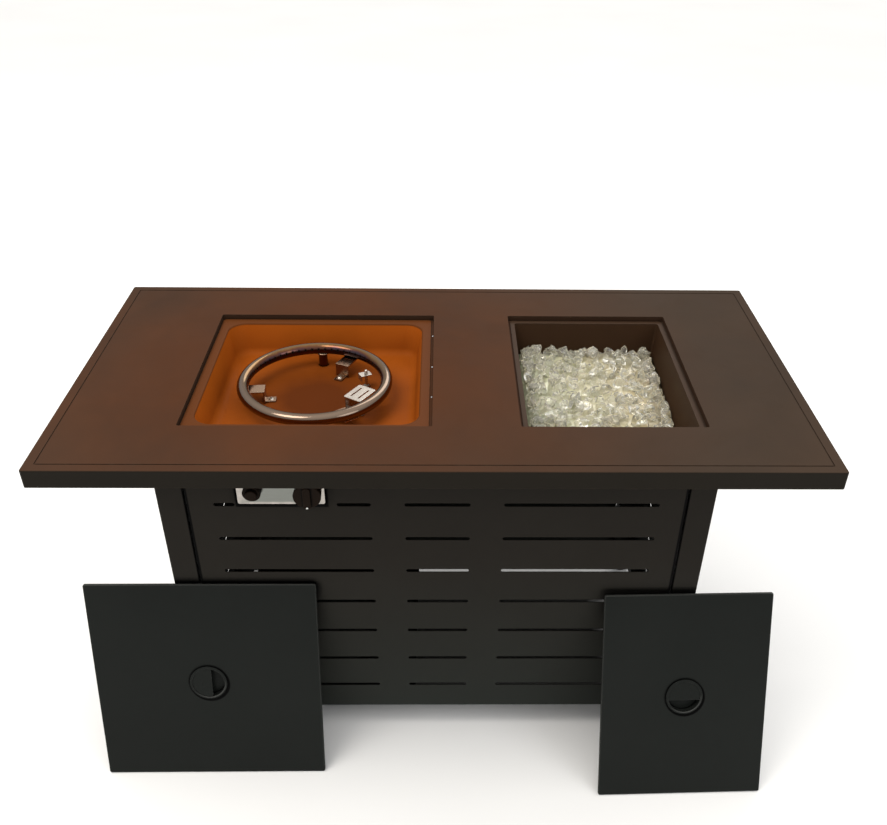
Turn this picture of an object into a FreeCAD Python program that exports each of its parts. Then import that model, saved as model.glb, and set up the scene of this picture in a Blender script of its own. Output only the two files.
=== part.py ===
import FreeCAD, Part
import math
import os

# Fire pit table in sheet steel, all sizes in millimetres.
# X runs along the table, Y from front to back, Z up from the floor.
# Shapes are drawn about the middle of the table top; the last lines move them so that
# the origin is the middle of the floor area taken up by the table and its leaning lids.

# Table top
top_length = 1120.0
top_depth = 588.0
table_height = 600.0
apron_height = 28.0
top_sheet = 2.0
apron_lip = 12.0
top_corner_radius = 4.0
top_edge_radius = 2.0
rim_width = 15.0
groove_width = 2.0
groove_depth = 1.0
stiffener_width = 40.0
stiffener_depth = 16.0
stiffener_sheet = 1.5
stiffener_inset = 30.0
left_stiffener_x = -470.0
middle_stiffener_x = 56.0
right_stiffener_x = 478.0

# Openings in the top, with the recess that takes the lids
opening_depth = 360.0
burner_opening_width = 368.0
burner_opening_x = -192.0
bin_opening_width = 274.0
bin_opening_x = 258.0
opening_corner_radius = 3.0
recess_depth = 8.0
ledge_sheet = 2.0
burner_ledge_reach = 12.0
bin_ledge_reach = 7.0

# Drawn burner pan
pan_sheet = 1.5
pan_flange_x = -193.75
pan_flange_width = 361.5
pan_flange_depth = 356.0
pan_flange_radius = 6.0
pan_x = -194.0
pan_mouth_width = 332.5
pan_mouth_depth = 325.0
pan_draw = 54.0
pan_draft = 11.0
pan_corner_radius = 29.0
pan_floor_radius = 14.0
pan_mouth_radius = 4.0
drain_radius = 4.0
drain_spread = 118.0
drain_y = -112.0
fitting_hole_radius = 4.2

# Ring burner
ring_x = -198.2
ring_radius = 115.0
ring_tube_radius = 9.5
ring_bore_radius = 8.1
ring_height = 569.5
port_radius = 1.1
port_count = 60
port_lift_degrees = 15.0
riser_radius = 7.5
riser_bore_radius = 5.8
riser_below_pan = 4.0
bracket_angles = (64.0, 184.0, 304.0)
bracket_reach = 33.5
bracket_width = 24.0
bracket_sheet = 2.0
bracket_foot_length = 16.0
bracket_foot_width = 14.0
bracket_screw_inset = 9.0
bracket_screw_head = 4.5
bracket_screw_shank = 2.4

# Igniter hood, electrode and flame sensor in the pan
hood_angle = -32.0
hood_radius = 89.0
hood_rise = 7.0
hood_length = 43.0
hood_width = 32.0
hood_sheet = 1.2
hood_corner_radius = 3.0
hood_slot_length = 29.0
hood_slot_width = 2.8
hood_slot_offset = 7.0
hood_foot_width = 32.0
hood_foot_length = 12.0
ceramic_radius = 3.2
ceramic_length = 28.0
ceramic_below_floor = 14.0
sensor_angle = 26.0
sensor_radius = 88.0
sensor_length = 44.0
sensor_below_floor = 12.0
sensor_clip_rise = 36.0

# Air mixer, jet and supply tube below the pan
mixer_below_pan = 15.0
mixer_radius = 10.0
mixer_wall = 2.0
mixer_start_y = 30.0
mixer_bell_y = 62.0
window_width = 14.0
jet_y = 21.0
jet_hexagon = 13.0
jet_hexagon_length = 9.0
jet_tail = 8.0
jet_bore_radius = 0.6
supply_radius = 3.0
supply_bore_radius = 2.0
supply_bend_radius = 18.0

# Heat shield
shield_z = 505.0
shield_width = 352.0
shield_depth = 300.0
shield_sheet = 1.5
shield_leg_y = 90.0
shield_leg_width = 40.0
shield_foot = 8.0

# Storage bin and its glass
bin_sheet = 1.5
bin_x = 258.5
bin_flange_width = 267.0
bin_flange_depth = 356.0
bin_mouth_width = 252.0
bin_mouth_depth = 336.0
bin_draw = 100.0
bin_draft = 7.0
bin_corner_radius = 5.0
glass_level = 538.0
glass_fall_right = 0.02
glass_fall_front = 0.027
glass_fall_corner = 0.268
glass_corner_ridge_y = -10.0
glass_clearance = 0.3
glass_size = 17.0
glass_columns = 9
glass_rows = 14
glass_edge_margin = 11.0
glass_seed = 11

# Base
base_length = 819.0
base_depth = 454.0
post_width = 40.0
post_wall = 2.0
post_edge_radius = 2.5
foot_height = 14.0
foot_pad_radius = 17.0
foot_flange = 5.0
foot_plug_height = 16.0
foot_plug_gap = 0.2
panel_sheet = 1.5
panel_bottom = 57.0
panel_top = 590.0
panel_gap = 2.5
flange_depth = 12.0
side_flange_inset = 26.0
rail_angle = 25.0
rail_sheet = 2.0
end_rail_leaf = 9.0
door_rail_inset = 16.0
bottom_rail_size = 20.0
bottom_rail_wall = 1.5

# Louvre slots in the panels
slot_rows = 7
slot_pitch = 63.9
lowest_slot = 109.8
slot_height = 6.0
long_slot = 230.0
middle_slot = 97.0
end_slot = 120.0
slot_gap = 49.5
slot_left_of_controls = -297.0
slot_right_of_controls = -148.0

# Controls
plate_x = -227.5
plate_z = 526.5
plate_width = 127.0
plate_height = 60.0
plate_sheet = 1.2
plate_radius = 3.0
gasket_margin = 2.6
cutout_width = 116.0
cutout_height = 52.0
cutout_radius = 4.0
knob_x = -186.0
knob_radius = 20.3
knob_depth = 18.4
knob_wall = 3.4
knob_face = 4.0
knob_hub_radius = 7.0
knob_stand_off = 6.0
grip_width = 11.0
grip_rise = 4.5
dot_radius = 1.5
dot_inset = 4.4
stem_radius = 4.0
stem_flat = 2.5
stem_reach = 14.0
running_gap = 0.05
press_travel = 4.0
button_x = -266.0
button_radius = 8.5
button_rise = 5.0
collar_radius = 13.2
collar_depth = 17.5
collar_ribs = 5
collar_groove = 1.2
rib_width = 2.2
barrel_radius = 10.0
barrel_length = 57.0
battery_radius = 7.1
battery_length = 49.0
nut_across_flats = 27.0
nut_depth = 4.0

# Gas valve behind the knob
valve_flange_width = 20.0
valve_flange_height = 50.0
valve_flange_sheet = 3.0
valve_body_radius = 11.0
valve_body_length = 30.0
valve_waist_radius = 9.0
valve_waist_length = 14.0
valve_inlet_offset = 17.0
valve_inlet_radius = 9.0
valve_inlet_drop = 21.0
valve_screw_offset = 18.5
valve_screw_radius = 3.5
valve_screw_head = 2.6
stem_tail_depth = 18.0
plunger_radius = 2.5
plunger_pin_radius = 1.6
inlet_hexagon = 19.0
inlet_hexagon_height = 8.0
inlet_thread_radius = 7.9
inlet_thread_length = 14.0
inlet_cone_length = 5.0
inlet_spigot = 9.0

# Gas cylinder bay
bay_x = -206.0
tray_z = 20.0
tray_sheet = 1.5
tray_width = 332.0
tray_depth = 332.0
tray_side = 18.0
tray_corner_radius = 6.0
tray_slot_length = 120.0
tray_slot_width = 28.0
tray_slot_pitch = 58.0
hanger_width = 30.0
hanger_inset = 40.0
hanger_hook = 8.0
foot_ring_radius = 108.0
foot_ring_wall = 2.0
foot_ring_height = 10.0
seat_groove_depth = 0.4
seat_groove_gap = 0.3

# Door at the left end
door_gap = 2.5
door_top_drop = 22.0
door_knob_y = -150.0
door_knob_z = 460.0
door_knob_screw_radius = 2.5
hinge_pin_radius = 1.75
hinge_knuckle_radius = 3.4
hinge_reach = 4.2
hinge_height = 50.0
hinge_levels = (150.0, 480.0)
hinge_play = 0.4
leaf_sheet = 1.5
leaf_width = 20.0
leaf_screw_y = 12.0
leaf_screw_z = 16.0
leaf_screw_radius = 3.2
leaf_screw_head = 1.6
catch_z = 430.0
catch_height = 44.0
catch_gap = 2.5
strike_sheet = 1.5
strike_height = 36.0
strike_width = 14.0

# Lids
lid_sheet = 1.5
lid_rim = 5.0
lid_corner_radius = 3.0
lid_edge_radius = 1.2
lid_touch_gap = 0.4
burner_lid_width = 360.0
burner_lid_height = 352.0
burner_lid_lean = 14.8
burner_lid_turn = 0.2
burner_lid_x = -369.3
bin_lid_width = 269.0
bin_lid_height = 348.0
bin_lid_lean = 22.6
bin_lid_turn = 1.45
bin_lid_x = 400.3
brace_width = 28.0
brace_depth = 5.0
brace_sheet = 1.2
brace_inset = 20.0
brace_share = 0.22
pad_radius = 5.0
pad_inset = 14.0
pull_radius = 30.0
pull_rise = 2.6
pull_edge_radius = 1.2
pull_cup_radius = 26.0
pull_cup_depth = 11.0
pull_wall = 1.6
pull_chord = 5.5
pull_plate_drop = 0.6

# Heights and faces worked out from the sizes above
top_underside = table_height - top_sheet
recess_z = table_height - recess_depth
ledge_top = recess_z - pan_sheet
ledge_bottom = ledge_top - ledge_sheet
pan_floor_z = recess_z - pan_draw
pan_underside = pan_floor_z - pan_sheet
riser_bottom = pan_underside - riser_below_pan
mixer_z = pan_underside - mixer_below_pan
bracket_inner = ring_radius - bracket_reach
front_face = -base_depth / 2
end_face = base_length / 2
post_inner_x = end_face - post_width
post_inner_y = base_depth / 2 - post_width
side_flange_from = panel_bottom + side_flange_inset
side_flange_to = panel_top - side_flange_inset
long_panel_width = 2 * (post_inner_x - panel_gap)
end_panel_width = 2 * (post_inner_y - panel_gap)
door_width = 2 * (post_inner_y - door_gap)
door_top = panel_top - door_top_drop
plate_back = front_face - plate_sheet
plate_face = plate_back - plate_sheet
valve_front = plate_back + valve_flange_sheet
valve_back = valve_front + valve_body_length + valve_waist_length
stem_tail = plate_back + stem_tail_depth
inlet_y = valve_front + valve_inlet_offset
pin_x = -end_face - hinge_reach
pin_y = post_inner_y - panel_gap / 2


def vec(x, y, z):
    return FreeCAD.Vector(x, y, z)


up = vec(0, 0, 1)
backward = vec(0, 1, 0)


def block(x0, x1, y0, y1, z0, z1):
    return Part.makeBox(x1 - x0, y1 - y0, z1 - z0, vec(x0, y0, z0))


def rod(start, direction, radius, length):
    return Part.makeCylinder(radius, length, start, direction)


def tube(start, direction, radius, bore, length):
    return rod(start, direction, radius, length).cut(rod(start, direction, bore, length))


def rounded_wire(cx, cy, z, width, depth, radius):
    """Closed outline of a rectangle with round corners, on the plane at height z."""
    hx, hy, r = width / 2, depth / 2, radius
    diagonal = r * (1 - math.sqrt(0.5))
    edges = []
    for sx, sy in ((1, 1), (-1, 1), (-1, -1), (1, -1)):
        corner_x, corner_y = cx + sx * hx, cy + sy * hy
        on_y_side = vec(corner_x, corner_y - sy * r, z)
        on_x_side = vec(corner_x - sx * r, corner_y, z)
        middle = vec(corner_x - sx * diagonal, corner_y - sy * diagonal, z)
        ends = (on_y_side, on_x_side) if sx == sy else (on_x_side, on_y_side)
        edges.append((ends[0], middle, ends[1]))
    curves = []
    for index, (start, middle, end) in enumerate(edges):
        curves.append(Part.Arc(start, middle, end).toShape())
        curves.append(Part.LineSegment(end, edges[(index + 1) % 4][0]).toShape())
    return Part.Wire(curves)


def slab(cx, cy, width, depth, radius, z0, z1):
    """Upright prism on a rectangle with round corners."""
    outline = rounded_wire(cx, cy, z0, width, depth, radius)
    return Part.Face(outline).extrude(vec(0, 0, z1 - z0))


def tapered_body(cx, width, depth, radius, draft, z_top, z_bottom):
    top = rounded_wire(cx, 0, z_top, width, depth, radius)
    bottom = rounded_wire(cx, 0, z_bottom, width - 2 * draft, depth - 2 * draft, radius * 0.85)
    return Part.makeLoft([bottom, top], True, True)


def edges_at(shape, z, tolerance=0.01):
    found = []
    for edge in shape.Edges:
        box = edge.BoundBox
        if abs(box.ZMin - z) < tolerance and abs(box.ZMax - z) < tolerance:
            found.append(edge)
    return found


def fused(shapes):
    return shapes[0].multiFuse(shapes[1:]) if len(shapes) > 1 else shapes[0]


def group(shapes):
    return Part.makeCompound(shapes)


def turned(shape, degrees, axis=(0, 0, 1), centre=(0, 0, 0)):
    copy = shape.copy()
    copy.rotate(vec(*centre), vec(*axis), degrees)
    return copy


def moved(shape, x=0, y=0, z=0):
    copy = shape.copy()
    copy.translate(vec(x, y, z))
    return copy


# Table top


def table_top():
    """Pressed tray of sheet steel: flat top, apron and an inward lip below."""
    half_sheet = 2 * top_sheet
    bottom = table_height - apron_height
    outer = slab(0, 0, top_length, top_depth, top_corner_radius, bottom, table_height)
    outer = outer.makeFillet(top_edge_radius, edges_at(outer, table_height))
    inner_radius = top_corner_radius - top_sheet
    inner_length, inner_depth = top_length - half_sheet, top_depth - half_sheet
    hollow = slab(0, 0, inner_length, inner_depth, inner_radius, bottom + top_sheet, top_underside)
    mouth = slab(0, 0, inner_length - 2 * apron_lip, inner_depth - 2 * apron_lip,
                 inner_radius, bottom, bottom + top_sheet)
    cuts = [hollow, mouth, pressed_groove()]
    for x, width in ((burner_opening_x, burner_opening_width), (bin_opening_x, bin_opening_width)):
        cuts.append(slab(x, 0, width, opening_depth, opening_corner_radius,
                         top_underside, table_height))
    return outer.cut(fused(cuts))


def pressed_groove():
    length, depth = top_length - 2 * rim_width, top_depth - 2 * rim_width
    z0 = table_height - groove_depth
    outer = slab(0, 0, length, depth, 2.5, z0, table_height)
    inner = slab(0, 0, length - 2 * groove_width, depth - 2 * groove_width, 1.0, z0, table_height)
    return outer.cut(inner)


def ledge_frame(cx, width, reach):
    """Angle frame welded under an opening: its leaf carries the pan or bin flange."""
    wide, deep = width + 2 * ledge_sheet, opening_depth + 2 * ledge_sheet
    leg = slab(cx, 0, wide, deep, opening_corner_radius, ledge_bottom, top_underside)
    leg = leg.cut(slab(cx, 0, width, opening_depth, opening_corner_radius, ledge_top, top_underside))
    way_through = slab(cx, 0, width - 2 * reach, opening_depth - 2 * reach,
                       opening_corner_radius, ledge_bottom, ledge_top)
    return leg.cut(way_through)


def burner_ledge():
    return ledge_frame(burner_opening_x, burner_opening_width, burner_ledge_reach)


def bin_ledge():
    return ledge_frame(bin_opening_x, bin_opening_width, bin_ledge_reach)


def top_stiffeners():
    """Three folded channels under the top sheet, clear of both openings."""
    beyond_base = top_depth / 2 - stiffener_inset
    between_rails = base_depth / 2 - rail_angle - 2.0
    half = stiffener_width / 2
    z0 = top_underside - stiffener_depth
    channels = []
    for x, reach in ((left_stiffener_x, beyond_base), (middle_stiffener_x, between_rails),
                     (right_stiffener_x, beyond_base)):
        outer = block(x - half, x + half, -reach, reach, z0, top_underside)
        inner_half = half - stiffener_sheet
        inner = block(x - inner_half, x + inner_half, -reach, reach, z0, top_underside - stiffener_sheet)
        channels.append(outer.cut(inner))
    return group(channels)


# Burner


def drawn_pan_body(width, depth, corner, floor_z, floor_radius, top_z):
    body = tapered_body(pan_x, width, depth, corner, pan_draft, top_z, floor_z)
    return body.makeFillet(floor_radius, edges_at(body, floor_z))


def burner_pan():
    """Deep drawn pan with a flat flange, round corners and holes in its floor."""
    flange = slab(pan_flange_x, 0, pan_flange_width, pan_flange_depth, pan_flange_radius,
                  ledge_top, recess_z)
    outside = drawn_pan_body(pan_mouth_width + 2 * pan_sheet, pan_mouth_depth + 2 * pan_sheet,
                             pan_corner_radius + pan_sheet, pan_underside,
                             pan_floor_radius + pan_sheet, recess_z)
    inside = drawn_pan_body(pan_mouth_width, pan_mouth_depth, pan_corner_radius,
                            pan_floor_z, pan_floor_radius, recess_z)
    pan = flange.fuse(outside).cut(inside)
    holes = [floor_hole(ring_x, ring_radius, riser_radius + 1.0)]
    for radius, degrees in ((hood_radius, hood_angle), (sensor_radius, sensor_angle)):
        place = ring_point(radius, degrees, 0)
        holes.append(floor_hole(place.x, place.y, fitting_hole_radius))
    for side in (-1, 1):
        holes.append(floor_hole(pan_x + side * drain_spread, drain_y, drain_radius))
    pan = pan.cut(fused(holes))
    mouth_edges = [edge for edge in edges_at(pan, recess_z) if on_mouth(edge)]
    return pan.makeFillet(pan_mouth_radius - pan_sheet, mouth_edges)


def floor_hole(x, y, radius):
    return rod(vec(x, y, pan_underside - pan_sheet), up, radius, 3 * pan_sheet)


def on_mouth(edge):
    box = edge.BoundBox
    inside_x = box.XMin > pan_x - pan_mouth_width / 2 - 1 and box.XMax < pan_x + pan_mouth_width / 2 + 1
    inside_y = box.YMin > -pan_mouth_depth / 2 - 1 and box.YMax < pan_mouth_depth / 2 + 1
    return inside_x and inside_y


def ring_point(radius, degrees, z):
    angle = math.radians(degrees)
    return vec(ring_x + radius * math.cos(angle), radius * math.sin(angle), z)


def ring_burner():
    """Hollow ring with ports on its inner side and a riser that drops through the pan."""
    centre = vec(ring_x, 0, ring_height)
    riser_start = vec(ring_x, ring_radius, riser_bottom)
    riser_length = ring_height - riser_bottom
    skin = Part.makeTorus(ring_radius, ring_tube_radius, centre, up)
    skin = skin.fuse(rod(riser_start, up, riser_radius, riser_length))
    bore = Part.makeTorus(ring_radius, ring_bore_radius, centre, up)
    bore = bore.fuse(rod(riser_start, up, riser_bore_radius, riser_length))
    lift = math.radians(port_lift_degrees)
    wall = ring_tube_radius - ring_bore_radius
    ports = []
    for index in range(port_count):
        degrees = (index + 0.5) * 360.0 / port_count
        angle = math.radians(degrees)
        inward = vec(-math.cos(angle) * math.cos(lift), -math.sin(angle) * math.cos(lift), math.sin(lift))
        start = ring_point(ring_radius, degrees, ring_height) + inward * (ring_bore_radius - wall)
        ports.append(rod(start, inward, port_radius, 3 * wall))
    return skin.cut(bore).cut(ports)


def burner_brackets():
    """Bent straps that stand on the pan floor and hold the ring from below."""
    half, half_foot = bracket_width / 2, bracket_foot_width / 2
    seat = ring_height - ring_tube_radius
    foot_top = pan_floor_z + bracket_sheet
    straps = []
    for degrees in bracket_angles:
        top = block(bracket_inner, ring_radius + 4.0, -half, half, seat - bracket_sheet, seat)
        leg = block(bracket_inner, bracket_inner + bracket_sheet, -half, half, pan_floor_z, seat)
        foot = block(bracket_inner - bracket_foot_length, bracket_inner, -half_foot, half_foot,
                     pan_floor_z, foot_top)
        hole = rod(vec(bracket_inner - bracket_screw_inset, 0, pan_floor_z), up, 2.5, bracket_sheet)
        strap = turned(fused([top, leg, foot]).cut(hole), degrees)
        straps.append(moved(strap, x=ring_x))
    return group(straps)


def bracket_screws():
    """Round heads on the feet of the straps, with the shank that fills each hole."""
    head_height = 2.8
    foot_top = pan_floor_z + bracket_sheet
    screws = []
    for degrees in bracket_angles:
        place = ring_point(bracket_inner - bracket_screw_inset, degrees, pan_floor_z)
        head = rod(place + up * bracket_sheet, up, bracket_screw_head, head_height)
        head = head.makeFillet(1.6, edges_at(head, foot_top + head_height))
        screws.append(head.fuse(rod(place, up, bracket_screw_shank, bracket_sheet)))
    return group(screws)


def igniter_hood():
    """Folded stainless hood with two slots, standing over the electrode."""
    top = ring_height + hood_rise
    half = hood_length / 2
    inner, outer = hood_radius - hood_width / 2, hood_radius + hood_width / 2
    under = top - hood_sheet
    plate = slab(hood_radius, 0, hood_width, hood_length, hood_corner_radius, under, top)
    for side in (-1, 1):
        plate = plate.cut(slab(hood_radius + side * hood_slot_offset, 0, hood_slot_width,
                               hood_slot_length, hood_slot_width / 2 - 0.1, under, top))
    back = block(inner, inner + hood_sheet, -half + hood_corner_radius, half - hood_corner_radius,
                 pan_floor_z, top)
    foot = block(inner - hood_foot_length, inner, -hood_foot_width / 2, hood_foot_width / 2,
                 pan_floor_z, pan_floor_z + hood_sheet)
    hood = turned(fused([plate, back, foot]), hood_angle)
    return moved(hood, x=ring_x)


def spark_electrode():
    """Ceramic insulator under the hood, with its collar and spark wire."""
    start = ring_point(hood_radius, hood_angle, pan_floor_z - ceramic_below_floor)
    ceramic = rod(start, up, ceramic_radius, ceramic_length)
    collar = rod(start + up * ceramic_below_floor, up, ceramic_radius + 2.4, 3.0)
    wire = rod(start + up * ceramic_length, up, 1.0, 9.0)
    return fused([ceramic, collar, wire])


def flame_sensor():
    """Probe with a nut on the pan floor and a small clip below its tip."""
    start = ring_point(sensor_radius, sensor_angle, pan_floor_z - sensor_below_floor)
    probe = rod(start, up, 2.6, sensor_length)
    probe = probe.makeFillet(1.5, edges_at(probe, start.z + sensor_length))
    nut = hexagon(start.x, start.y, 10.0, pan_floor_z, pan_floor_z + 4.0)
    clip_sheet, clip_end = 1.2, -11.0
    clip_z = start.z + sensor_clip_rise
    leaf = block(clip_end, 8, -7, 7, clip_z, clip_z + clip_sheet)
    lip = block(clip_end, clip_end + clip_sheet, -7, 7, clip_z - 9, clip_z)
    clip = moved(turned(leaf.fuse(lip), sensor_angle), x=start.x, y=start.y)
    return fused([probe, nut, clip])


def hexagon(x, y, across_flats, z0, z1):
    radius = across_flats / math.sqrt(3)
    corners = []
    for index in range(7):
        angle = math.radians(60 * index)
        corners.append(vec(x + radius * math.cos(angle), y + radius * math.sin(angle), z0))
    return Part.Face(Part.makePolygon(corners)).extrude(vec(0, 0, z1 - z0))


def air_mixer():
    """Venturi below the pan: bell mouth with air windows, then an elbow up to the riser."""
    start = vec(ring_x, mixer_start_y, mixer_z)
    bell_end = vec(ring_x, mixer_bell_y, mixer_z)
    elbow_centre = vec(ring_x, ring_radius, mixer_z)
    bell_length = mixer_bell_y - mixer_start_y
    rise = riser_bottom - mixer_z
    mixer = fused([rod(start, backward, mixer_radius, bell_length),
                   rod(bell_end, backward, riser_radius, ring_radius - mixer_bell_y),
                   Part.makeSphere(riser_radius, elbow_centre),
                   rod(elbow_centre, up, riser_radius, rise)])
    bores = fused([rod(start, backward, mixer_radius - mixer_wall, bell_length - 3.0),
                   rod(start, backward, riser_bore_radius, ring_radius - mixer_start_y),
                   Part.makeSphere(riser_bore_radius, elbow_centre),
                   rod(elbow_centre, up, riser_bore_radius, rise)])
    window_start = mixer_start_y + jet_hexagon_length
    windows = block(ring_x - 12, ring_x + 12, window_start, window_start + window_width,
                    mixer_z - 4, mixer_z + 4)
    return mixer.cut(bores.fuse(windows))


def gas_orifice():
    """Brass jet screwed into the open end of the mixer."""
    head = hexagon(0, 0, jet_hexagon, 0, jet_hexagon_length)
    tail = rod(vec(0, 0, jet_hexagon_length), up, mixer_radius - mixer_wall, jet_tail)
    seat = rod(vec(0, 0, 0), up, supply_radius, jet_hexagon_length + 1.0)
    jet_bore = rod(vec(0, 0, jet_hexagon_length), up, jet_bore_radius, jet_tail)
    jet = head.fuse(tail).cut(seat.fuse(jet_bore))
    jet = turned(jet, -90, axis=(1, 0, 0))
    return moved(jet, x=ring_x, y=jet_y, z=mixer_z)


def supply_tube():
    """Bent aluminium tube from the valve outlet to the jet."""
    valve_end = vec(knob_x, valve_back, plate_z)
    first_corner = vec(knob_x, valve_back + 24.0, plate_z)
    second_corner = vec(ring_x, valve_back + 66.0, mixer_z)
    jet_end = vec(ring_x, jet_y + 3.0, mixer_z)
    path = filleted_path([valve_end, first_corner, second_corner, jet_end], supply_bend_radius)
    shells = []
    for radius in (supply_radius, supply_bore_radius):
        section = Part.Wire(Part.makeCircle(radius, valve_end, backward))
        shells.append(path.makePipeShell([section], True, False))
    return shells[0].cut(shells[1])


def filleted_path(points, radius):
    """Wire of straight runs joined by tangent arcs of one radius."""
    edges = []
    last = points[0]
    for before, point, after in zip(points, points[1:], points[2:]):
        to_before = (before - point).normalize()
        to_after = (after - point).normalize()
        half_turn = (math.pi - to_before.getAngle(to_after)) / 2
        reach = radius * math.tan(half_turn)
        start, end = point + to_before * reach, point + to_after * reach
        towards_centre = (to_before + to_after).normalize()
        centre_distance = radius / math.cos(half_turn)
        middle = point + towards_centre * (centre_distance - radius)
        edges.append(Part.LineSegment(last, start).toShape())
        edges.append(Part.Arc(start, middle, end).toShape())
        last = end
    edges.append(Part.LineSegment(last, points[-1]).toShape())
    return Part.Wire(edges)


def heat_shield():
    """Bent plate below the pan, hung from the ledge leaf by its side legs."""
    half_width, half_depth, half_leg = shield_width / 2, shield_depth / 2, shield_leg_width / 2
    x0, x1 = burner_opening_x - half_width, burner_opening_x + half_width
    plate_top = shield_z + shield_sheet
    pieces = [block(x0, x1, -half_depth, half_depth, shield_z, plate_top)]
    for edge_x, outward in ((x0, -1), (x1, 1)):
        leg_x = sorted((edge_x, edge_x - outward * shield_sheet))
        foot_x = sorted((edge_x, edge_x + outward * shield_foot))
        for y in (-shield_leg_y, shield_leg_y):
            pieces.append(block(*leg_x, y - half_leg, y + half_leg, plate_top, ledge_bottom))
            pieces.append(block(*foot_x, y - half_leg, y + half_leg,
                                ledge_bottom - shield_sheet, ledge_bottom))
    return fused(pieces)


# Gas controls


def across_front(shape):
    """Turns a shape drawn along +Z from the plate so that it points out of the front face."""
    return turned(shape, 90, axis=(1, 0, 0))


def control_gasket():
    """Thin black frame between the front panel and the control plate."""
    margin = 2 * gasket_margin
    outline = slab(0, 0, plate_width + margin, plate_height + margin, plate_radius + gasket_margin,
                   0, plate_sheet)
    outline = outline.cut(slab(0, 0, cutout_width, cutout_height, cutout_radius, 0, plate_sheet))
    return moved(across_front(outline), x=plate_x, y=front_face, z=plate_z)


def control_plate():
    """Stainless bezel with round corners and holes for the valve stem and the igniter."""
    outline = slab(0, 0, plate_width, plate_height, plate_radius, plate_sheet, 2 * plate_sheet)
    for x, radius in ((knob_x, stem_radius + 2.5), (button_x, barrel_radius + 0.4)):
        outline = outline.cut(rod(vec(x - plate_x, 0, 0), up, radius, 4.0))
    return moved(across_front(outline), x=plate_x, y=front_face, z=plate_z)


def control_valve():
    """Valve body: flange behind the plate, turned body, bores for stem and plunger, two ports."""
    half_width, half_height = valve_flange_width / 2, valve_flange_height / 2
    flange = block(knob_x - half_width, knob_x + half_width, plate_back, valve_front,
                   plate_z - half_height, plate_z + half_height)
    inlet_end = plate_z - valve_inlet_drop
    valve = fused([flange,
                   valve_rod(valve_front, valve_body_radius, valve_body_length),
                   valve_rod(valve_front + valve_body_length, valve_waist_radius, valve_waist_length),
                   rod(vec(knob_x, inlet_y, inlet_end), up, valve_inlet_radius, valve_inlet_drop)])
    stem_end = stem_tail + press_travel + 1.0
    bores = fused([valve_rod(plate_back, stem_radius + running_gap, stem_end - plate_back),
                   valve_rod(stem_tail, plunger_radius + 0.1, 16.0),
                   valve_rod(stem_end, plunger_radius + 1.1, 8.0),
                   valve_rod(valve_back - 6.0, supply_radius, 6.0),
                   rod(vec(knob_x, inlet_y, inlet_end), up, 4.0, 10.0)])
    return valve.cut(bores)


def valve_rod(y, radius, length):
    return rod(vec(knob_x, y, plate_z), backward, radius, length)


def valve_inlet_fitting():
    """Brass flare fitting under the valve, where the gas hose would be screwed on."""
    top = plate_z - valve_inlet_drop
    thread_top = top - inlet_hexagon_height
    cone_top = thread_top - inlet_thread_length
    whole_length = inlet_spigot + inlet_hexagon_height + inlet_thread_length + inlet_cone_length
    fitting = fused([hexagon(knob_x, inlet_y, inlet_hexagon, thread_top, top),
                     rod(vec(knob_x, inlet_y, top), up, 4.0, inlet_spigot),
                     rod(vec(knob_x, inlet_y, cone_top), up, inlet_thread_radius, inlet_thread_length),
                     Part.makeCone(inlet_thread_radius - 1.2, 4.5, inlet_cone_length,
                                   vec(knob_x, inlet_y, cone_top), vec(0, 0, -1))])
    return fitting.cut(rod(vec(knob_x, inlet_y, top + inlet_spigot), vec(0, 0, -1), 2.5, whole_length))


def valve_screws():
    """Two screw heads that clamp the valve's flange to the plate."""
    screws = []
    for side in (-1, 1):
        start = vec(knob_x, valve_front, plate_z + side * valve_screw_offset)
        screws.append(rod(start, backward, valve_screw_radius, valve_screw_head))
    return group(screws)


def valve_plunger():
    """Push rod that opens the safety valve when the knob is pressed."""
    head_length, pin_length = 4.0, 7.0
    head = valve_rod(stem_tail, plunger_radius, head_length)
    return head.fuse(valve_rod(stem_tail + head_length, plunger_pin_radius, pin_length))


def valve_stem():
    """Round stem with a flat that keys the knob."""
    hub_face = plate_face - knob_stand_off
    tip = hub_face - stem_reach
    stem = valve_rod(tip, stem_radius, stem_tail - tip)
    flat = block(knob_x - 5, knob_x + 5, tip, hub_face, plate_z + stem_flat, plate_z + 5)
    return stem.cut(flat)


def control_knob():
    """Round knob with a tapered skirt, a grip bar across its face and a keyed hub."""
    back = knob_stand_off
    front = back + knob_depth
    bar_front = front + grip_rise
    inside_depth = knob_depth - knob_face
    foot = vec(0, 0, back)
    body = Part.makeCone(knob_radius - 1.0, knob_radius, knob_depth, foot, up)
    body = body.makeFillet(1.6, edges_at(body, front))
    hollow = rod(foot, up, knob_radius - knob_wall, inside_depth)
    hub = rod(foot, up, knob_hub_radius, inside_depth)
    bar = slab(0, 0, grip_width, 2 * knob_radius - 4.0, 4.0, front - 1.0, bar_front)
    bar = bar.makeFillet(1.2, edges_at(bar, bar_front))
    stem_hole = rod(foot, up, stem_radius, stem_reach)
    stem_hole = stem_hole.cut(block(-5, 5, stem_flat, 5, back, back + stem_reach))
    knob = fused([body.cut(hollow), hub, bar]).cut(stem_hole)
    return moved(across_front(knob), x=knob_x, y=plate_face, z=plate_z)


def knob_pointer_dot():
    """White dot at the lower end of the grip bar."""
    front = knob_stand_off + knob_depth + grip_rise
    dot = rod(vec(0, dot_inset - knob_radius, front), up, dot_radius, 0.4)
    return moved(across_front(dot), x=knob_x, y=plate_face, z=plate_z)


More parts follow.
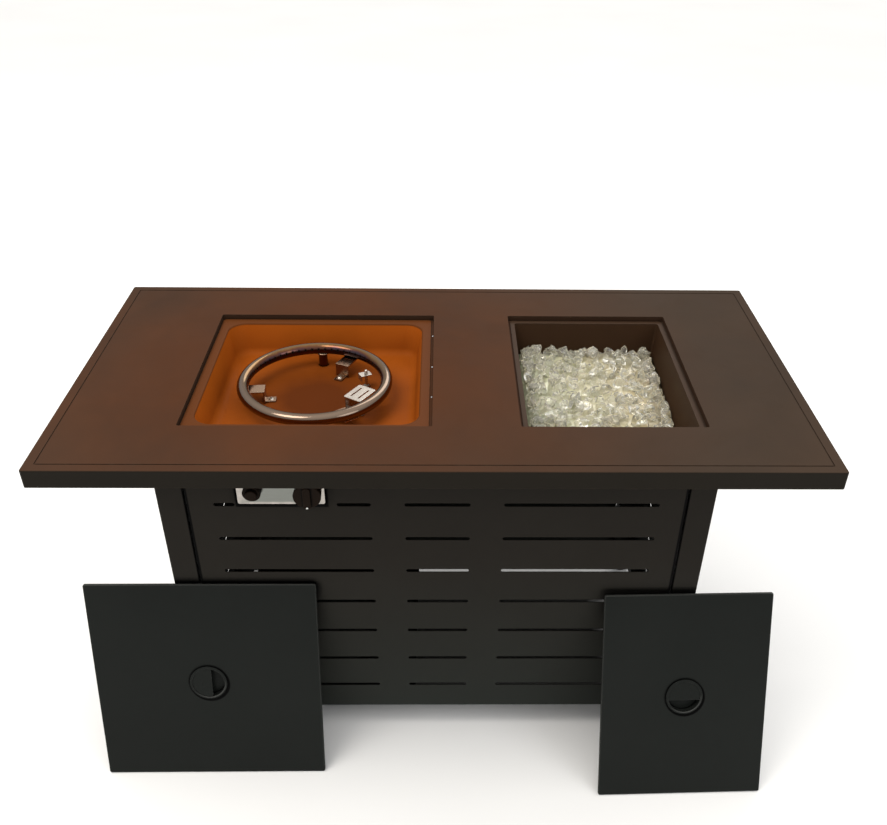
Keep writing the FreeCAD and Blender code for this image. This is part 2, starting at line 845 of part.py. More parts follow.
def igniter_housing():
    """Ribbed collar in front of the plate and a battery barrel behind it."""
    face = 2 * plate_sheet
    pitch = collar_depth / collar_ribs
    pieces = [rod(vec(0, 0, face), up, collar_radius - collar_groove, collar_depth),
              rod(vec(0, 0, face - barrel_length), up, barrel_radius, barrel_length)]
    for index in range(collar_ribs):
        pieces.append(rod(vec(0, 0, face + index * pitch), up, collar_radius, rib_width))
    button_bore = rod(vec(0, 0, face + 1.5), up, button_radius + 0.3, collar_depth + 2)
    battery_bore = rod(vec(0, 0, 0), vec(0, 0, -1), battery_radius + 0.2, battery_length + 3.0)
    housing = fused(pieces).cut(button_bore.fuse(battery_bore))
    tab_root, tab_length = face - barrel_length, 8.0
    for x in (-5.0, 5.0):
        housing = housing.fuse(block(x - 0.4, x + 0.4, -2.4, 2.4, tab_root - tab_length, tab_root))
    return moved(across_front(housing), x=button_x, y=front_face, z=plate_z)


def igniter_battery():
    """Cell that slides into the barrel, with its raised tip to the front."""
    cell = rod(vec(0, 0, -1.0 - battery_length), up, battery_radius, battery_length)
    tip = rod(vec(0, 0, -1.0), up, 2.5, 0.9)
    return moved(across_front(cell.fuse(tip)), x=button_x, y=front_face, z=plate_z)


def igniter_nut():
    """Hexagonal nut that draws the housing against the plate from behind."""
    nut = turned(hexagon(0, 0, nut_across_flats, -nut_depth, plate_sheet), 30)
    nut = nut.cut(rod(vec(0, 0, -nut_depth), up, barrel_radius, nut_depth + plate_sheet))
    return moved(across_front(nut), x=button_x, y=front_face, z=plate_z)


def igniter_button():
    """Round cap that slides in the collar."""
    face = 2 * plate_sheet
    back = face + 1.5 + press_travel + 1.0
    front = face + collar_depth + button_rise
    cap = rod(vec(0, 0, back), up, button_radius, front - back)
    cap = cap.makeFillet(1.8, edges_at(cap, front))
    return moved(across_front(cap), x=button_x, y=front_face, z=plate_z)


# Base


def corner_post(sx, sy):
    """Square tube leg."""
    x0, x1 = sorted((sx * end_face, sx * post_inner_x))
    y0, y1 = sorted((sy * base_depth / 2, sy * post_inner_y))
    height = top_underside - foot_height
    outer = block(x0, x1, y0, y1, foot_height, top_underside)
    uprights = [edge for edge in outer.Edges if abs(edge.BoundBox.ZLength - height) < 0.1]
    inner = block(x0 + post_wall, x1 - post_wall, y0 + post_wall, y1 - post_wall,
                  foot_height, top_underside)
    return outer.makeFillet(post_edge_radius, uprights).cut(inner)


def glide_feet():
    """Plastic end plugs with a round pad under each leg."""
    half_plug = post_width / 2 - post_wall - foot_plug_gap
    pad_height = foot_height - foot_flange
    feet = []
    for sx in (-1, 1):
        for sy in (-1, 1):
            x, y = sx * (end_face - post_width / 2), sy * (base_depth / 2 - post_width / 2)
            plug = block(x - half_plug, x + half_plug, y - half_plug, y + half_plug,
                         foot_height, foot_height + foot_plug_height)
            flange = slab(x, y, post_width, post_width, 3.0, pad_height, foot_height)
            pad = rod(vec(x, y, 0), up, foot_pad_radius, pad_height)
            pad = pad.makeFillet(2.0, edges_at(pad, 0))
            feet.append(fused([plug, flange, pad]))
    return group(feet)


def slot(cx, cz, length):
    """Stadium slot through a panel whose outer face lies on y = 0."""
    radius, half_cut = slot_height / 2, 3.0
    reach = length / 2 - radius
    pieces = [block(cx - reach, cx + reach, -half_cut, half_cut, cz - radius, cz + radius)]
    for side in (-1, 1):
        pieces.append(rod(vec(cx + side * reach, -half_cut, cz), backward, radius, 2 * half_cut))
    return fused(pieces)


def slot_heights():
    return [lowest_slot + row * slot_pitch for row in range(slot_rows)]


def long_panel_slots(beside_controls):
    """Three slots in each row; beside the control plate the top left one is in two parts."""
    side_x = middle_slot / 2 + slot_gap + long_slot / 2
    slots = []
    for row, z in enumerate(slot_heights()):
        slots.append(slot(0, z, middle_slot))
        slots.append(slot(side_x, z, long_slot))
        if beside_controls and row == slot_rows - 1:
            slots.append(slot_between(-side_x - long_slot / 2, slot_left_of_controls, z))
            slots.append(slot_between(slot_right_of_controls, -side_x + long_slot / 2, z))
        else:
            slots.append(slot(-side_x, z, long_slot))
    return slots


def slot_between(x0, x1, z):
    return slot((x0 + x1) / 2, z, x1 - x0)


def end_panel_slots():
    offset = end_slot / 2 + slot_gap / 2
    return [slot(side * offset, z, end_slot) for z in slot_heights() for side in (-1, 1)]


def folded_panel(width, bottom, top, side_from, side_to, slots):
    """Sheet with its outer face on y = 0, folded in along the bottom and both sides."""
    half = width / 2
    sheet = block(-half, half, 0, panel_sheet, bottom, top)
    hem = block(-half, half, 0, flange_depth, bottom, bottom + panel_sheet)
    left = block(-half, -half + panel_sheet, 0, flange_depth, side_from, side_to)
    right = block(half - panel_sheet, half, 0, flange_depth, side_from, side_to)
    return fused([sheet, hem, left, right]).cut(group(slots))


def front_panel():
    """Slotted sheet with an opening behind the control plate."""
    panel = folded_panel(long_panel_width, panel_bottom, panel_top, side_flange_from, side_flange_to,
                         long_panel_slots(True))
    cutout = slab(0, 0, cutout_width, cutout_height, cutout_radius, -3, 3)
    cutout = moved(across_front(cutout), x=plate_x, z=plate_z)
    return moved(panel.cut(cutout), y=front_face)


def back_panel():
    panel = folded_panel(long_panel_width, panel_bottom, panel_top, side_flange_from, side_flange_to,
                         long_panel_slots(False))
    return moved(turned(panel, 180), y=-front_face)


def right_panel():
    panel = folded_panel(end_panel_width, panel_bottom, panel_top, side_flange_from, side_flange_to,
                         end_panel_slots())
    return moved(turned(panel, 90), x=end_face)


def top_rail(length, leaf_width):
    """Angle with its outer face on y = 0, its upper leaf under the table top."""
    half = length / 2
    upright = block(-half, half, 0, rail_sheet, top_underside - rail_angle, top_underside)
    leaf = block(-half, half, 0, leaf_width, top_underside - rail_sheet, top_underside)
    return upright.fuse(leaf)


def top_rails():
    rails = []
    long_rail = top_rail(2 * post_inner_x, rail_angle)
    end_rail = top_rail(2 * post_inner_y, end_rail_leaf)
    rails.append(moved(long_rail, y=front_face + panel_sheet))
    rails.append(moved(turned(long_rail, 180), y=-front_face - panel_sheet))
    rails.append(moved(turned(end_rail, 90), x=end_face - panel_sheet))
    rails.append(moved(turned(end_rail, -90), x=-end_face + door_rail_inset))
    return group(rails)


def bottom_rail(length):
    half, size, wall = length / 2, bottom_rail_size, bottom_rail_wall
    outer = block(-half, half, 0, size, 0, size)
    inner = block(-half, half, wall, size - wall, wall, size - wall)
    return outer.cut(inner)


def bottom_rails():
    """Square tubes between the legs, just above the folded lower edges of the panels."""
    z = panel_bottom + panel_sheet
    rails = []
    long_rail, end_rail = bottom_rail(2 * post_inner_x), bottom_rail(2 * post_inner_y)
    rails.append(moved(long_rail, y=front_face + panel_sheet, z=z))
    rails.append(moved(turned(long_rail, 180), y=-front_face - panel_sheet, z=z))
    rails.append(moved(turned(end_rail, 90), x=end_face - panel_sheet, z=z))
    rails.append(moved(turned(end_rail, -90), x=-end_face + door_rail_inset, z=z))
    return group(rails)


# Cylinder bay


def cylinder_tray():
    """Shallow tray with turned-up sides, hooked over the rails; a groove seats the foot ring."""
    floor_top, side_top = tray_z + tray_sheet, tray_z + tray_side
    outer = slab(bay_x, 0, tray_width, tray_depth, tray_corner_radius, tray_z, side_top)
    inner = slab(bay_x, 0, tray_width - 2 * tray_sheet, tray_depth - 2 * tray_sheet,
                 tray_corner_radius - tray_sheet, floor_top, side_top)
    tray = outer.cut(inner)
    for x in (-tray_slot_pitch, 0.0, tray_slot_pitch):
        tray = tray.cut(slab(bay_x + x, 0, tray_slot_width, tray_slot_length,
                             tray_slot_width / 2 - 0.1, tray_z, floor_top))
    groove_bore = foot_ring_radius - foot_ring_wall - seat_groove_gap
    groove_start = vec(bay_x, 0, floor_top - seat_groove_depth)
    tray = tray.cut(tube(groove_start, up, foot_ring_radius + seat_groove_gap, groove_bore,
                         seat_groove_depth))
    return fused([tray] + tray_hangers())


def tray_hangers():
    """Straps from the tray's sides up and over the bottom rails."""
    half = hanger_width / 2
    rail_top = panel_bottom + panel_sheet + bottom_rail_size
    rail_y = base_depth / 2 - panel_sheet - bottom_rail_size
    hangers = []
    for side in (-1, 1):
        near, far = side * tray_depth / 2, side * (tray_depth / 2 + tray_sheet)
        for x in (bay_x - tray_width / 2 + hanger_inset, bay_x + tray_width / 2 - hanger_inset):
            strap_y, hook_y = sorted((near, far)), sorted((near, side * (rail_y + hanger_hook)))
            strap = block(x - half, x + half, *strap_y, tray_z, rail_top + tray_sheet)
            hook = block(x - half, x + half, *hook_y, rail_top, rail_top + tray_sheet)
            hangers.append(strap.fuse(hook))
    return hangers


def cylinder_ring():
    """Low ring that keeps the foot of a gas cylinder in place."""
    z = tray_z + tray_sheet - seat_groove_depth
    return tube(vec(bay_x, 0, z), up, foot_ring_radius, foot_ring_radius - foot_ring_wall,
                foot_ring_height)


# Door


def access_door():
    """Slotted door in the left end, folded like the fixed panels."""
    door = folded_panel(door_width, panel_bottom, door_top, panel_bottom, door_top, end_panel_slots())
    top_hem = block(-door_width / 2, door_width / 2, 0, flange_depth, door_top - panel_sheet, door_top)
    door = moved(turned(door.fuse(top_hem), -90), x=-end_face)
    knob_hole = rod(vec(-end_face - 1, door_knob_y, door_knob_z), vec(1, 0, 0),
                    door_knob_screw_radius + 0.1, 2 * panel_sheet + 2)
    return door.cut(knob_hole)


def door_knob():
    """Turned knob with its screw through the door skin."""
    neck = Part.makeCone(6.0, 5.0, 8.0)
    flare = Part.makeCone(5.0, 11.0, 6.0, vec(0, 0, 8))
    head_rim = Part.makeCone(11.0, 12.0, 5.0, vec(0, 0, 14))
    crown = Part.makeSphere(16.0, vec(0, 0, 8.4)).common(rod(vec(0, 0, 19), up, 12.0, 8.0))
    shank = rod(vec(0, 0, -panel_sheet), up, door_knob_screw_radius, panel_sheet)
    screw_head = rod(vec(0, 0, -panel_sheet), vec(0, 0, -1), 4.5, 2.5)
    knob = turned(fused([neck, flare, head_rim, crown, shank, screw_head]), -90, axis=(0, 1, 0))
    return moved(knob, x=-end_face, y=door_knob_y, z=door_knob_z)


def knuckle(z0, z1):
    return tube(vec(pin_x, pin_y, z0), up, hinge_knuckle_radius, hinge_pin_radius + running_gap, z1 - z0)


def hinge_leaf(level, fixed):
    """Flat leaf with its knuckles; the fixed one has two, the moving one the middle one."""
    side = 1 if fixed else -1
    low, high = level - hinge_height / 2, level + hinge_height / 2
    third = hinge_height / 3
    if fixed:
        spans = [(low, low + third), (high - third, high)]
        gaps = [(low + third, high - third)]
    else:
        spans = [(low + third + hinge_play, high - third - hinge_play)]
        gaps = [(low, spans[0][0]), (spans[0][1], high)]
    plate_y = sorted((pin_y + side * 1.6, pin_y + side * leaf_width))
    web_y = sorted((pin_y + side * 0.8, pin_y + side * hinge_knuckle_radius))
    pieces = [block(-end_face - leaf_sheet, -end_face, *plate_y, low, high)]
    for z0, z1 in spans:
        bore = rod(vec(pin_x, pin_y, z0), up, hinge_pin_radius + running_gap, z1 - z0)
        pieces.append(knuckle(z0, z1).fuse(block(pin_x, -end_face, *web_y, z0, z1)).cut(bore))
    leaf = fused(pieces)
    for z0, z1 in gaps:
        leaf = leaf.cut(rod(vec(pin_x, pin_y, z0), up, hinge_knuckle_radius + hinge_play, z1 - z0))
    return leaf


def fixed_hinge_leaves():
    return group([hinge_leaf(level, True) for level in hinge_levels])


def door_hinge_leaves():
    return group([hinge_leaf(level, False) for level in hinge_levels])


def hinge_pins():
    """Pins with a flat head at the upper end."""
    pins = []
    for level in hinge_levels:
        low, high = level - hinge_height / 2, level + hinge_height / 2
        shaft = rod(vec(pin_x, pin_y, low), up, hinge_pin_radius, hinge_height)
        pins.append(shaft.fuse(rod(vec(pin_x, pin_y, high), up, hinge_knuckle_radius, 1.5)))
    return group(pins)


def hinge_screws(side):
    """Raised screw heads on the hinge leaves: side 1 is on the leg, side -1 on the door."""
    screws = []
    for level in hinge_levels:
        for z in (level - leaf_screw_z, level + leaf_screw_z):
            start = vec(-end_face - leaf_sheet, pin_y + side * leaf_screw_y, z)
            head = rod(start, vec(-1, 0, 0), leaf_screw_radius, leaf_screw_head)
            rim = [edge for edge in head.Edges if edge.BoundBox.XMax < start.x - leaf_screw_head + 0.01]
            screws.append(head.makeFillet(1.2, rim))
    return group(screws)


def magnet_catch():
    """Magnet in a plastic case, fixed to the front leg behind the door edge."""
    x0 = -end_face + flange_depth + catch_gap
    half = catch_height / 2
    case = block(x0, x0 + 14.0, -post_inner_y, -post_inner_y + 11.0, catch_z - half, catch_z + half)
    return case.makeFillet(1.5, case.Edges)


def strike_plate():
    """Steel tab welded inside the door, which lies on the magnet when the door is shut."""
    x0, y0 = -end_face + flange_depth, -door_width / 2
    half = strike_height / 2
    return block(x0, x0 + strike_sheet, y0, y0 + strike_width, catch_z - half, catch_z + half)


# Storage bin and glass


def storage_bin():
    """Folded box with a flange all round."""
    flange = slab(bin_x, 0, bin_flange_width, bin_flange_depth, 4.0, ledge_top, recess_z)
    outside = tapered_body(bin_x, bin_mouth_width + 2 * bin_sheet, bin_mouth_depth + 2 * bin_sheet,
                           bin_corner_radius + bin_sheet, bin_draft, recess_z,
                           recess_z - bin_draw - bin_sheet)
    return flange.fuse(outside).cut(bin_inside(0))


def bin_inside(clearance):
    shrink = 2 * clearance
    return tapered_body(bin_x, bin_mouth_width - shrink, bin_mouth_depth - shrink, bin_corner_radius,
                        bin_draft, recess_z, recess_z - bin_draw)


def glass_planes():
    """Level of the glass: one plane over most of the bin, one that falls to its front right corner."""
    corner_fall = glass_fall_corner * 0.8, -glass_fall_corner * 0.6
    ridge_x = bin_x + bin_mouth_width / 2
    ridge = vec(ridge_x, glass_corner_ridge_y, glass_height(ridge_x, glass_corner_ridge_y))
    level_normal = vec(glass_fall_right, -glass_fall_front, 1)
    steep_normal = vec(glass_fall_right + corner_fall[0], -glass_fall_front + corner_fall[1], 1)
    return [(vec(bin_x, 0, glass_level), level_normal), (ridge, steep_normal)]


def glass_height(x, y):
    return glass_level - glass_fall_right * (x - bin_x) + glass_fall_front * y


def glass_bed():
    """Body of the filling under the loose lumps on its surface."""
    bed = bin_inside(glass_clearance)
    for point, normal in glass_planes():
        cover = Part.makeBox(900, 900, 300, vec(-450, -450, 0))
        cover.Placement = FreeCAD.Placement(point, FreeCAD.Rotation(up, normal)).multiply(cover.Placement)
        bed = bed.cut(cover)
    return bed


def shard(width, height, sides, phase, drift):
    """Flat-bottomed faceted lump of glass, with a narrower top that is turned and moved a little."""
    top_share, top_turn = 0.68, 0.3
    lower, upper = [], []
    for index in range(sides + 1):
        angle = phase + 2 * math.pi * index / sides
        reach = width / 2 * (1.0 if index % sides % 2 else 0.86)
        top_reach = top_share * reach
        lower.append(vec(reach * math.cos(angle), reach * math.sin(angle), 0))
        upper.append(vec(drift + top_reach * math.cos(angle + top_turn),
                         top_reach * math.sin(angle + top_turn), height))
    return Part.makeLoft([Part.makePolygon(lower), Part.makePolygon(upper)], True, True)


def glass_chunks():
    """Loose lumps over the bed in staggered rows, varied by a small repeatable sequence."""
    planes = glass_planes()
    pitch_x = (bin_mouth_width - 2 * glass_edge_margin) / glass_columns
    pitch_y = (bin_mouth_depth - 2 * glass_edge_margin) / glass_rows
    state = glass_seed
    lumps = []
    for column in range(glass_columns):
        for row in range(glass_rows):
            state = (state * 1103515245 + 12345) % 2**31
            share = state / 2**31
            width = pitch_x * (0.82 + 0.15 * share)
            height = glass_size * (0.40 + 0.5 * share)
            sides = 5 + (column + row) % 2
            lump = shard(width, height, sides, 2 * math.pi * share, 3.0 * (share - 0.5))
            stagger = pitch_x * (row % 2 - 0.5) / 2
            x = bin_x + (column - (glass_columns - 1) / 2) * pitch_x + stagger
            y = (row - (glass_rows - 1) / 2) * pitch_y
            z, normal = lowest_plane(planes, x, y)
            lump.Placement = FreeCAD.Placement(vec(x, y, z), FreeCAD.Rotation(up, normal))
            lumps.append(lump)
    return group(lumps)


def lowest_plane(planes, x, y):
    """Height of the glass at a place, with the normal of the plane that sets it."""
    found = []
    for index, (point, normal) in enumerate(planes):
        fall = normal.x * (x - point.x) + normal.y * (y - point.y)
        found.append((point.z - fall / normal.z, index))
    height, index = min(found)
    return height, planes[index][1]


# Lids, drawn lying face up about the middle of their lower edge


def lid_skin(width, height):
    """Sheet with turned-down edges and a round hole for the pull."""
    outer = slab(0, height / 2, width, height, lid_corner_radius, -lid_rim, 0)
    outer = outer.makeFillet(lid_edge_radius, edges_at(outer, 0))
    inner = slab(0, height / 2, width - 2 * lid_sheet, height - 2 * lid_sheet,
                 lid_corner_radius - lid_sheet, -lid_rim, -lid_sheet)
    hole = rod(vec(0, height / 2, -lid_rim), up, pull_cup_radius + pull_wall, lid_rim)
    return outer.cut(inner.fuse(hole))


def lid_pull(height, open_towards):
    """Flush round pull: a raised bezel, a plate over the larger part and a cup under the rest."""
    middle = height / 2
    bezel = rod(vec(0, middle, 0), up, pull_radius, pull_rise)
    bezel = bezel.makeFillet(pull_edge_radius, edges_at(bezel, pull_rise))
    cup = rod(vec(0, middle, -pull_cup_depth), up, pull_cup_radius + pull_wall - 0.1, pull_cup_depth)
    hollow = rod(vec(0, middle, pull_wall - pull_cup_depth), up, pull_cup_radius, pull_cup_depth + 2)
    plate_top = pull_rise - pull_plate_drop
    plate = rod(vec(0, middle, plate_top - pull_wall), up, pull_cup_radius, pull_wall)
    larger_part = block(-pull_radius, pull_chord, middle - pull_radius, middle + pull_radius, -3, 3)
    pull = bezel.fuse(cup).cut(hollow).fuse(plate.common(larger_part))
    return turned(pull, open_towards, centre=(0, middle, 0))


def lid_braces(width, height):
    """Two folded channels spot-welded to the back of the sheet."""
    half_length, half = width / 2 - brace_inset, brace_width / 2
    inner_half = half - brace_sheet
    back = -lid_sheet - brace_depth
    braces = []
    for y in (height * brace_share, height * (1 - brace_share)):
        outer = block(-half_length, half_length, y - half, y + half, back, -lid_sheet)
        inner = block(-half_length, half_length, y - inner_half, y + inner_half,
                      back + brace_sheet, -lid_sheet)
        braces.append(outer.cut(inner))
    return group(braces)


def lid_pads(width, height):
    """Soft pads at the corners, on which the lid lies in its recess."""
    pads = []
    for sx in (-1, 1):
        for y in (pad_inset, height - pad_inset):
            start = vec(sx * (width / 2 - pad_inset), y, -recess_depth)
            pads.append(rod(start, up, pad_radius, recess_depth - lid_sheet))
    return group(pads)


def lean(shape, width, height, degrees, turn, x):
    """Stands a lid on its lower back edge, with its upper pads or rim at the front panel."""
    angle = math.radians(degrees)
    standing = turned(turned(shape, 90 - degrees, axis=(1, 0, 0)), turn)
    lift = lid_rim * math.sin(angle)
    twist = width / 2 * math.sin(math.radians(turn))
    pad_top = height - pad_inset + pad_radius
    pad_reach = pad_top * math.sin(angle) + recess_depth * math.cos(angle)
    rim_reach = height * math.sin(angle) + lid_rim * math.cos(angle)
    foot_y = front_face - lid_touch_gap - max(pad_reach, rim_reach) - twist
    return moved(standing, x=x, y=foot_y, z=lift)


def lean_burner_lid(shape):
    return lean(shape, burner_lid_width, burner_lid_height, burner_lid_lean, burner_lid_turn, burner_lid_x)


def lean_bin_lid(shape):
    return lean(shape, bin_lid_width, bin_lid_height, bin_lid_lean, bin_lid_turn, bin_lid_x)


def all_parts():
    wide, tall = burner_lid_width, burner_lid_height
    narrow, high = bin_lid_width, bin_lid_height
    parts = {
        "table_top": table_top(),
        "burner_ledge": burner_ledge(),
        "bin_ledge": bin_ledge(),
        "top_stiffeners": top_stiffeners(),
        "burner_pan": burner_pan(),
        "ring_burner": ring_burner(),
        "burner_brackets": burner_brackets(),
        "bracket_screws": bracket_screws(),
        "igniter_hood": igniter_hood(),
        "spark_electrode": spark_electrode(),
        "flame_sensor": flame_sensor(),
        "air_mixer": air_mixer(),
        "gas_orifice": gas_orifice(),
        "supply_tube": supply_tube(),
        "heat_shield": heat_shield(),
        "control_gasket": control_gasket(),
        "control_plate": control_plate(),
        "control_valve": control_valve(),
        "valve_inlet_fitting": valve_inlet_fitting(),
        "valve_screws": valve_screws(),
        "valve_plunger": valve_plunger(),
        "valve_stem": valve_stem(),
        "control_knob": control_knob(),
        "knob_pointer_dot": knob_pointer_dot(),
        "igniter_housing": igniter_housing(),
        "igniter_battery": igniter_battery(),
        "igniter_nut": igniter_nut(),
        "igniter_button": igniter_button(),
        "post_front_left": corner_post(-1, -1),
        "post_front_right": corner_post(1, -1),
        "post_back_left": corner_post(-1, 1),
        "post_back_right": corner_post(1, 1),
        "glide_feet": glide_feet(),
        "front_panel": front_panel(),
        "back_panel": back_panel(),
        "right_panel": right_panel(),
        "top_rails": top_rails(),
        "bottom_rails": bottom_rails(),
        "cylinder_tray": cylinder_tray(),
        "cylinder_ring": cylinder_ring(),
        "access_door": access_door(),
        "door_knob": door_knob(),
        "fixed_hinge_leaves": fixed_hinge_leaves(),
        "door_hinge_leaves": door_hinge_leaves(),
        "hinge_pins": hinge_pins(),
        "fixed_hinge_screws": hinge_screws(1),
        "door_hinge_screws": hinge_screws(-1),
        "magnet_catch": magnet_catch(),
        "strike_plate": strike_plate(),
        "storage_bin": storage_bin(),
        "glass_bed": glass_bed(),
        "glass_chunks": glass_chunks(),
        "burner_lid": lean_burner_lid(lid_skin(wide, tall)),
        "burner_lid_pull": lean_burner_lid(lid_pull(tall, 0)),
        "burner_lid_braces": lean_burner_lid(lid_braces(wide, tall)),
        "burner_lid_pads": lean_burner_lid(lid_pads(wide, tall)),
        "bin_lid": lean_bin_lid(lid_skin(narrow, high)),
        "bin_lid_pull": lean_bin_lid(lid_pull(high, -90)),
        "bin_lid_braces": lean_bin_lid(lid_braces(narrow, high)),
        "bin_lid_pads": lean_bin_lid(lid_pads(narrow, high)),
    }
    return parts


def main():
    os.makedirs("parts", exist_ok=True)
    parts = all_parts()
    nearest = min(shape.BoundBox.YMin for shape in parts.values())
    shift = -(nearest + top_depth / 2) / 2
    for name, shape in parts.items():
        whole = moved(shape, y=shift)
        whole.exportStep(f"parts/{name}.step")
    print(f"{len(parts)} parts, table moved back by {shift:.2f} mm")


main()
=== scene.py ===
import math
import random

import bmesh
import bpy
from mathutils import Matrix, Vector
from mathutils import noise as fieldNoise
from mathutils.bvhtree import BVHTree


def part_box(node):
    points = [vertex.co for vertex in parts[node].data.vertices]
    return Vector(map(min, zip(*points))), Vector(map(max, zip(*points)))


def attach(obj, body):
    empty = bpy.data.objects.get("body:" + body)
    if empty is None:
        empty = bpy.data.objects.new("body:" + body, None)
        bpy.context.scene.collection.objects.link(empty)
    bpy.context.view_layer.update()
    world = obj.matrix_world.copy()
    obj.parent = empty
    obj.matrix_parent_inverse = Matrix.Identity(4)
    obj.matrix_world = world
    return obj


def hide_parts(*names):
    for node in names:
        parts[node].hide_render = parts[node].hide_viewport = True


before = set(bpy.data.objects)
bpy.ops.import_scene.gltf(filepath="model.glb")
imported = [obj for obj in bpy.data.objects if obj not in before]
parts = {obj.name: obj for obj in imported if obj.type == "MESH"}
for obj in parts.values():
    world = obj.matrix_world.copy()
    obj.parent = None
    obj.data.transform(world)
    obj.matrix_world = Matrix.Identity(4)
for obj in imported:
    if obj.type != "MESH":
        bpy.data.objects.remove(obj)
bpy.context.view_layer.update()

print("frame loaded with", len(parts), "parts")


# Node helpers

def addNode(tree, kind, **settings):
    node = tree.nodes.new(kind)
    for name, value in settings.items():
        setattr(node, name, value)
    return node


def feed(tree, socket, value):
    if isinstance(value, bpy.types.NodeSocket):
        tree.links.new(value, socket)
    elif isinstance(value, (tuple, list)) and len(value) == 3 and socket.type == "RGBA":
        socket.default_value = (*value, 1.0)
    else:
        socket.default_value = value


def calc(tree, operation, first, second=0.0, third=0.0):
    node = addNode(tree, "ShaderNodeMath", operation=operation)
    for socket, value in zip(node.inputs, (first, second, third)):
        feed(tree, socket, value)
    return node.outputs[0]


def times(tree, first, *others):
    for other in others:
        first = calc(tree, "MULTIPLY", first, other)
    return first


def awayFrom(tree, value, middle):
    return calc(tree, "ABSOLUTE", calc(tree, "SUBTRACT", value, middle))


def remap(tree, value, fromLow, fromHigh, toLow=0.0, toHigh=1.0):
    node = addNode(tree, "ShaderNodeMapRange", clamp=True)
    for socket, given in zip(node.inputs, (value, fromLow, fromHigh, toLow, toHigh)):
        feed(tree, socket, given)
    return node.outputs[0]


def mixColour(tree, share, first, second, blend="MIX"):
    node = addNode(tree, "ShaderNodeMix", data_type="RGBA", blend_type=blend, clamp_factor=True)
    feed(tree, node.inputs[0], share)
    feed(tree, node.inputs[6], first)
    feed(tree, node.inputs[7], second)
    return node.outputs[2]


def noiseField(tree, vector, scale, detail=2.0, roughness=0.5, distortion=0.0):
    node = addNode(tree, "ShaderNodeTexNoise")
    feed(tree, node.inputs["Vector"], vector)
    feed(tree, node.inputs["Scale"], scale)
    node.inputs["Detail"].default_value = detail
    node.inputs["Roughness"].default_value = roughness
    node.inputs["Distortion"].default_value = distortion
    return node.outputs[0]


def cellField(tree, vector, scale, feature="F1"):
    node = addNode(tree, "ShaderNodeTexVoronoi", feature=feature)
    feed(tree, node.inputs["Vector"], vector)
    feed(tree, node.inputs["Scale"], scale)
    return node.outputs["Distance"]


def ramp(tree, value, stops):
    node = addNode(tree, "ShaderNodeValToRGB")
    feed(tree, node.inputs[0], value)
    elements = node.color_ramp.elements
    while len(elements) < len(stops):
        elements.new(0.5)
    for element, (place, colour) in zip(elements, stops):
        element.position = place
        element.color = (*colour, 1.0)
    return node.outputs[0]


def objectSpace(tree):
    return addNode(tree, "ShaderNodeTexCoord").outputs["Object"]


def faceNormal(tree):
    return addNode(tree, "ShaderNodeNewGeometry").outputs["True Normal"]


def axes(tree, vector):
    node = addNode(tree, "ShaderNodeSeparateXYZ")
    feed(tree, node.inputs[0], vector)
    return node.outputs


def stretched(tree, vector, scale):
    node = addNode(tree, "ShaderNodeMapping")
    feed(tree, node.inputs["Vector"], vector)
    node.inputs["Scale"].default_value = scale
    return node.outputs[0]


# Shared effects, each a group that is built once

def socketKind(label):
    if label in ("colour", "cloud", "worn", "dust", "grime", "deep"):
        return "NodeSocketColor"
    return "NodeSocketVector" if label in ("vector", "normal") else "NodeSocketFloat"


def newGroup(name, inputs, outputs):
    group = bpy.data.node_groups.new(name, "ShaderNodeTree")
    for label, start in inputs.items():
        kind = socketKind(label)
        socket = group.interface.new_socket(name=label, in_out="INPUT", socket_type=kind)
        socket.default_value = (*start, 1.0) if kind == "NodeSocketColor" else start
    for label in outputs.split():
        group.interface.new_socket(name=label, in_out="OUTPUT", socket_type=socketKind(label))
    return group, group.nodes.new("NodeGroupInput").outputs, group.nodes.new("NodeGroupOutput").inputs


def buildPowderGrain():
    group, given, out = newGroup(
        "powderGrain",
        {"colour": (0.02, 0.02, 0.02), "cloud": (0.03, 0.03, 0.03), "roughness": 0.45, "spread": 0.1,
         "grainScale": 700.0},
        "colour roughness height")
    place = objectSpace(group)
    cloud = remap(group, noiseField(group, place, 5.5, 4.0, 0.55), 0.34, 0.66)
    peel = noiseField(group, place, given["grainScale"], 2.0, 0.6)
    speckScale = times(group, given["grainScale"], 1.9)
    speck = remap(group, cellField(group, place, speckScale), 0.05, 0.45, 1.0, 0.0)
    share = calc(group, "MULTIPLY_ADD", speck, 0.35, times(group, cloud, 0.65))
    feed(group, out["colour"], mixColour(group, share, given["colour"], given["cloud"]))
    swing = calc(group, "SUBTRACT", calc(group, "MULTIPLY_ADD", cloud, 0.6, times(group, peel, 0.8)), 0.7)
    feed(group, out["roughness"], calc(group, "MULTIPLY_ADD", swing, given["spread"], given["roughness"]))
    feed(group, out["height"], calc(group, "MULTIPLY_ADD", peel, 0.8, times(group, speck, 0.2)))
    return group


def buildEdgeWearAndHighlight():
    group, given, out = newGroup(
        "edgeWearAndHighlight",
        {"colour": (0.02, 0.02, 0.02), "worn": (0.2, 0.19, 0.17), "amount": 0.5, "width": 0.0012,
         "even": 0.0},
        "colour")
    bevel = addNode(group, "ShaderNodeBevel", samples=4)
    feed(group, bevel.inputs["Radius"], given["width"])
    facing = addNode(group, "ShaderNodeVectorMath", operation="DOT_PRODUCT")
    feed(group, facing.inputs[0], bevel.outputs[0])
    feed(group, facing.inputs[1], faceNormal(group))
    edge = remap(group, facing.outputs["Value"], 0.80, 0.985, 1.0, 0.0)
    broken = remap(group, noiseField(group, objectSpace(group), 70.0, 4.0, 0.65), 0.42, 0.66)
    # the even share gives an unbroken lighter edge, a painted highlight; the broken share is scuffing
    broken = calc(group, "MAXIMUM", broken, given["even"])
    edge = times(group, edge, broken, given["amount"])
    feed(group, out["colour"], mixColour(group, edge, given["colour"], given["worn"]))
    return group


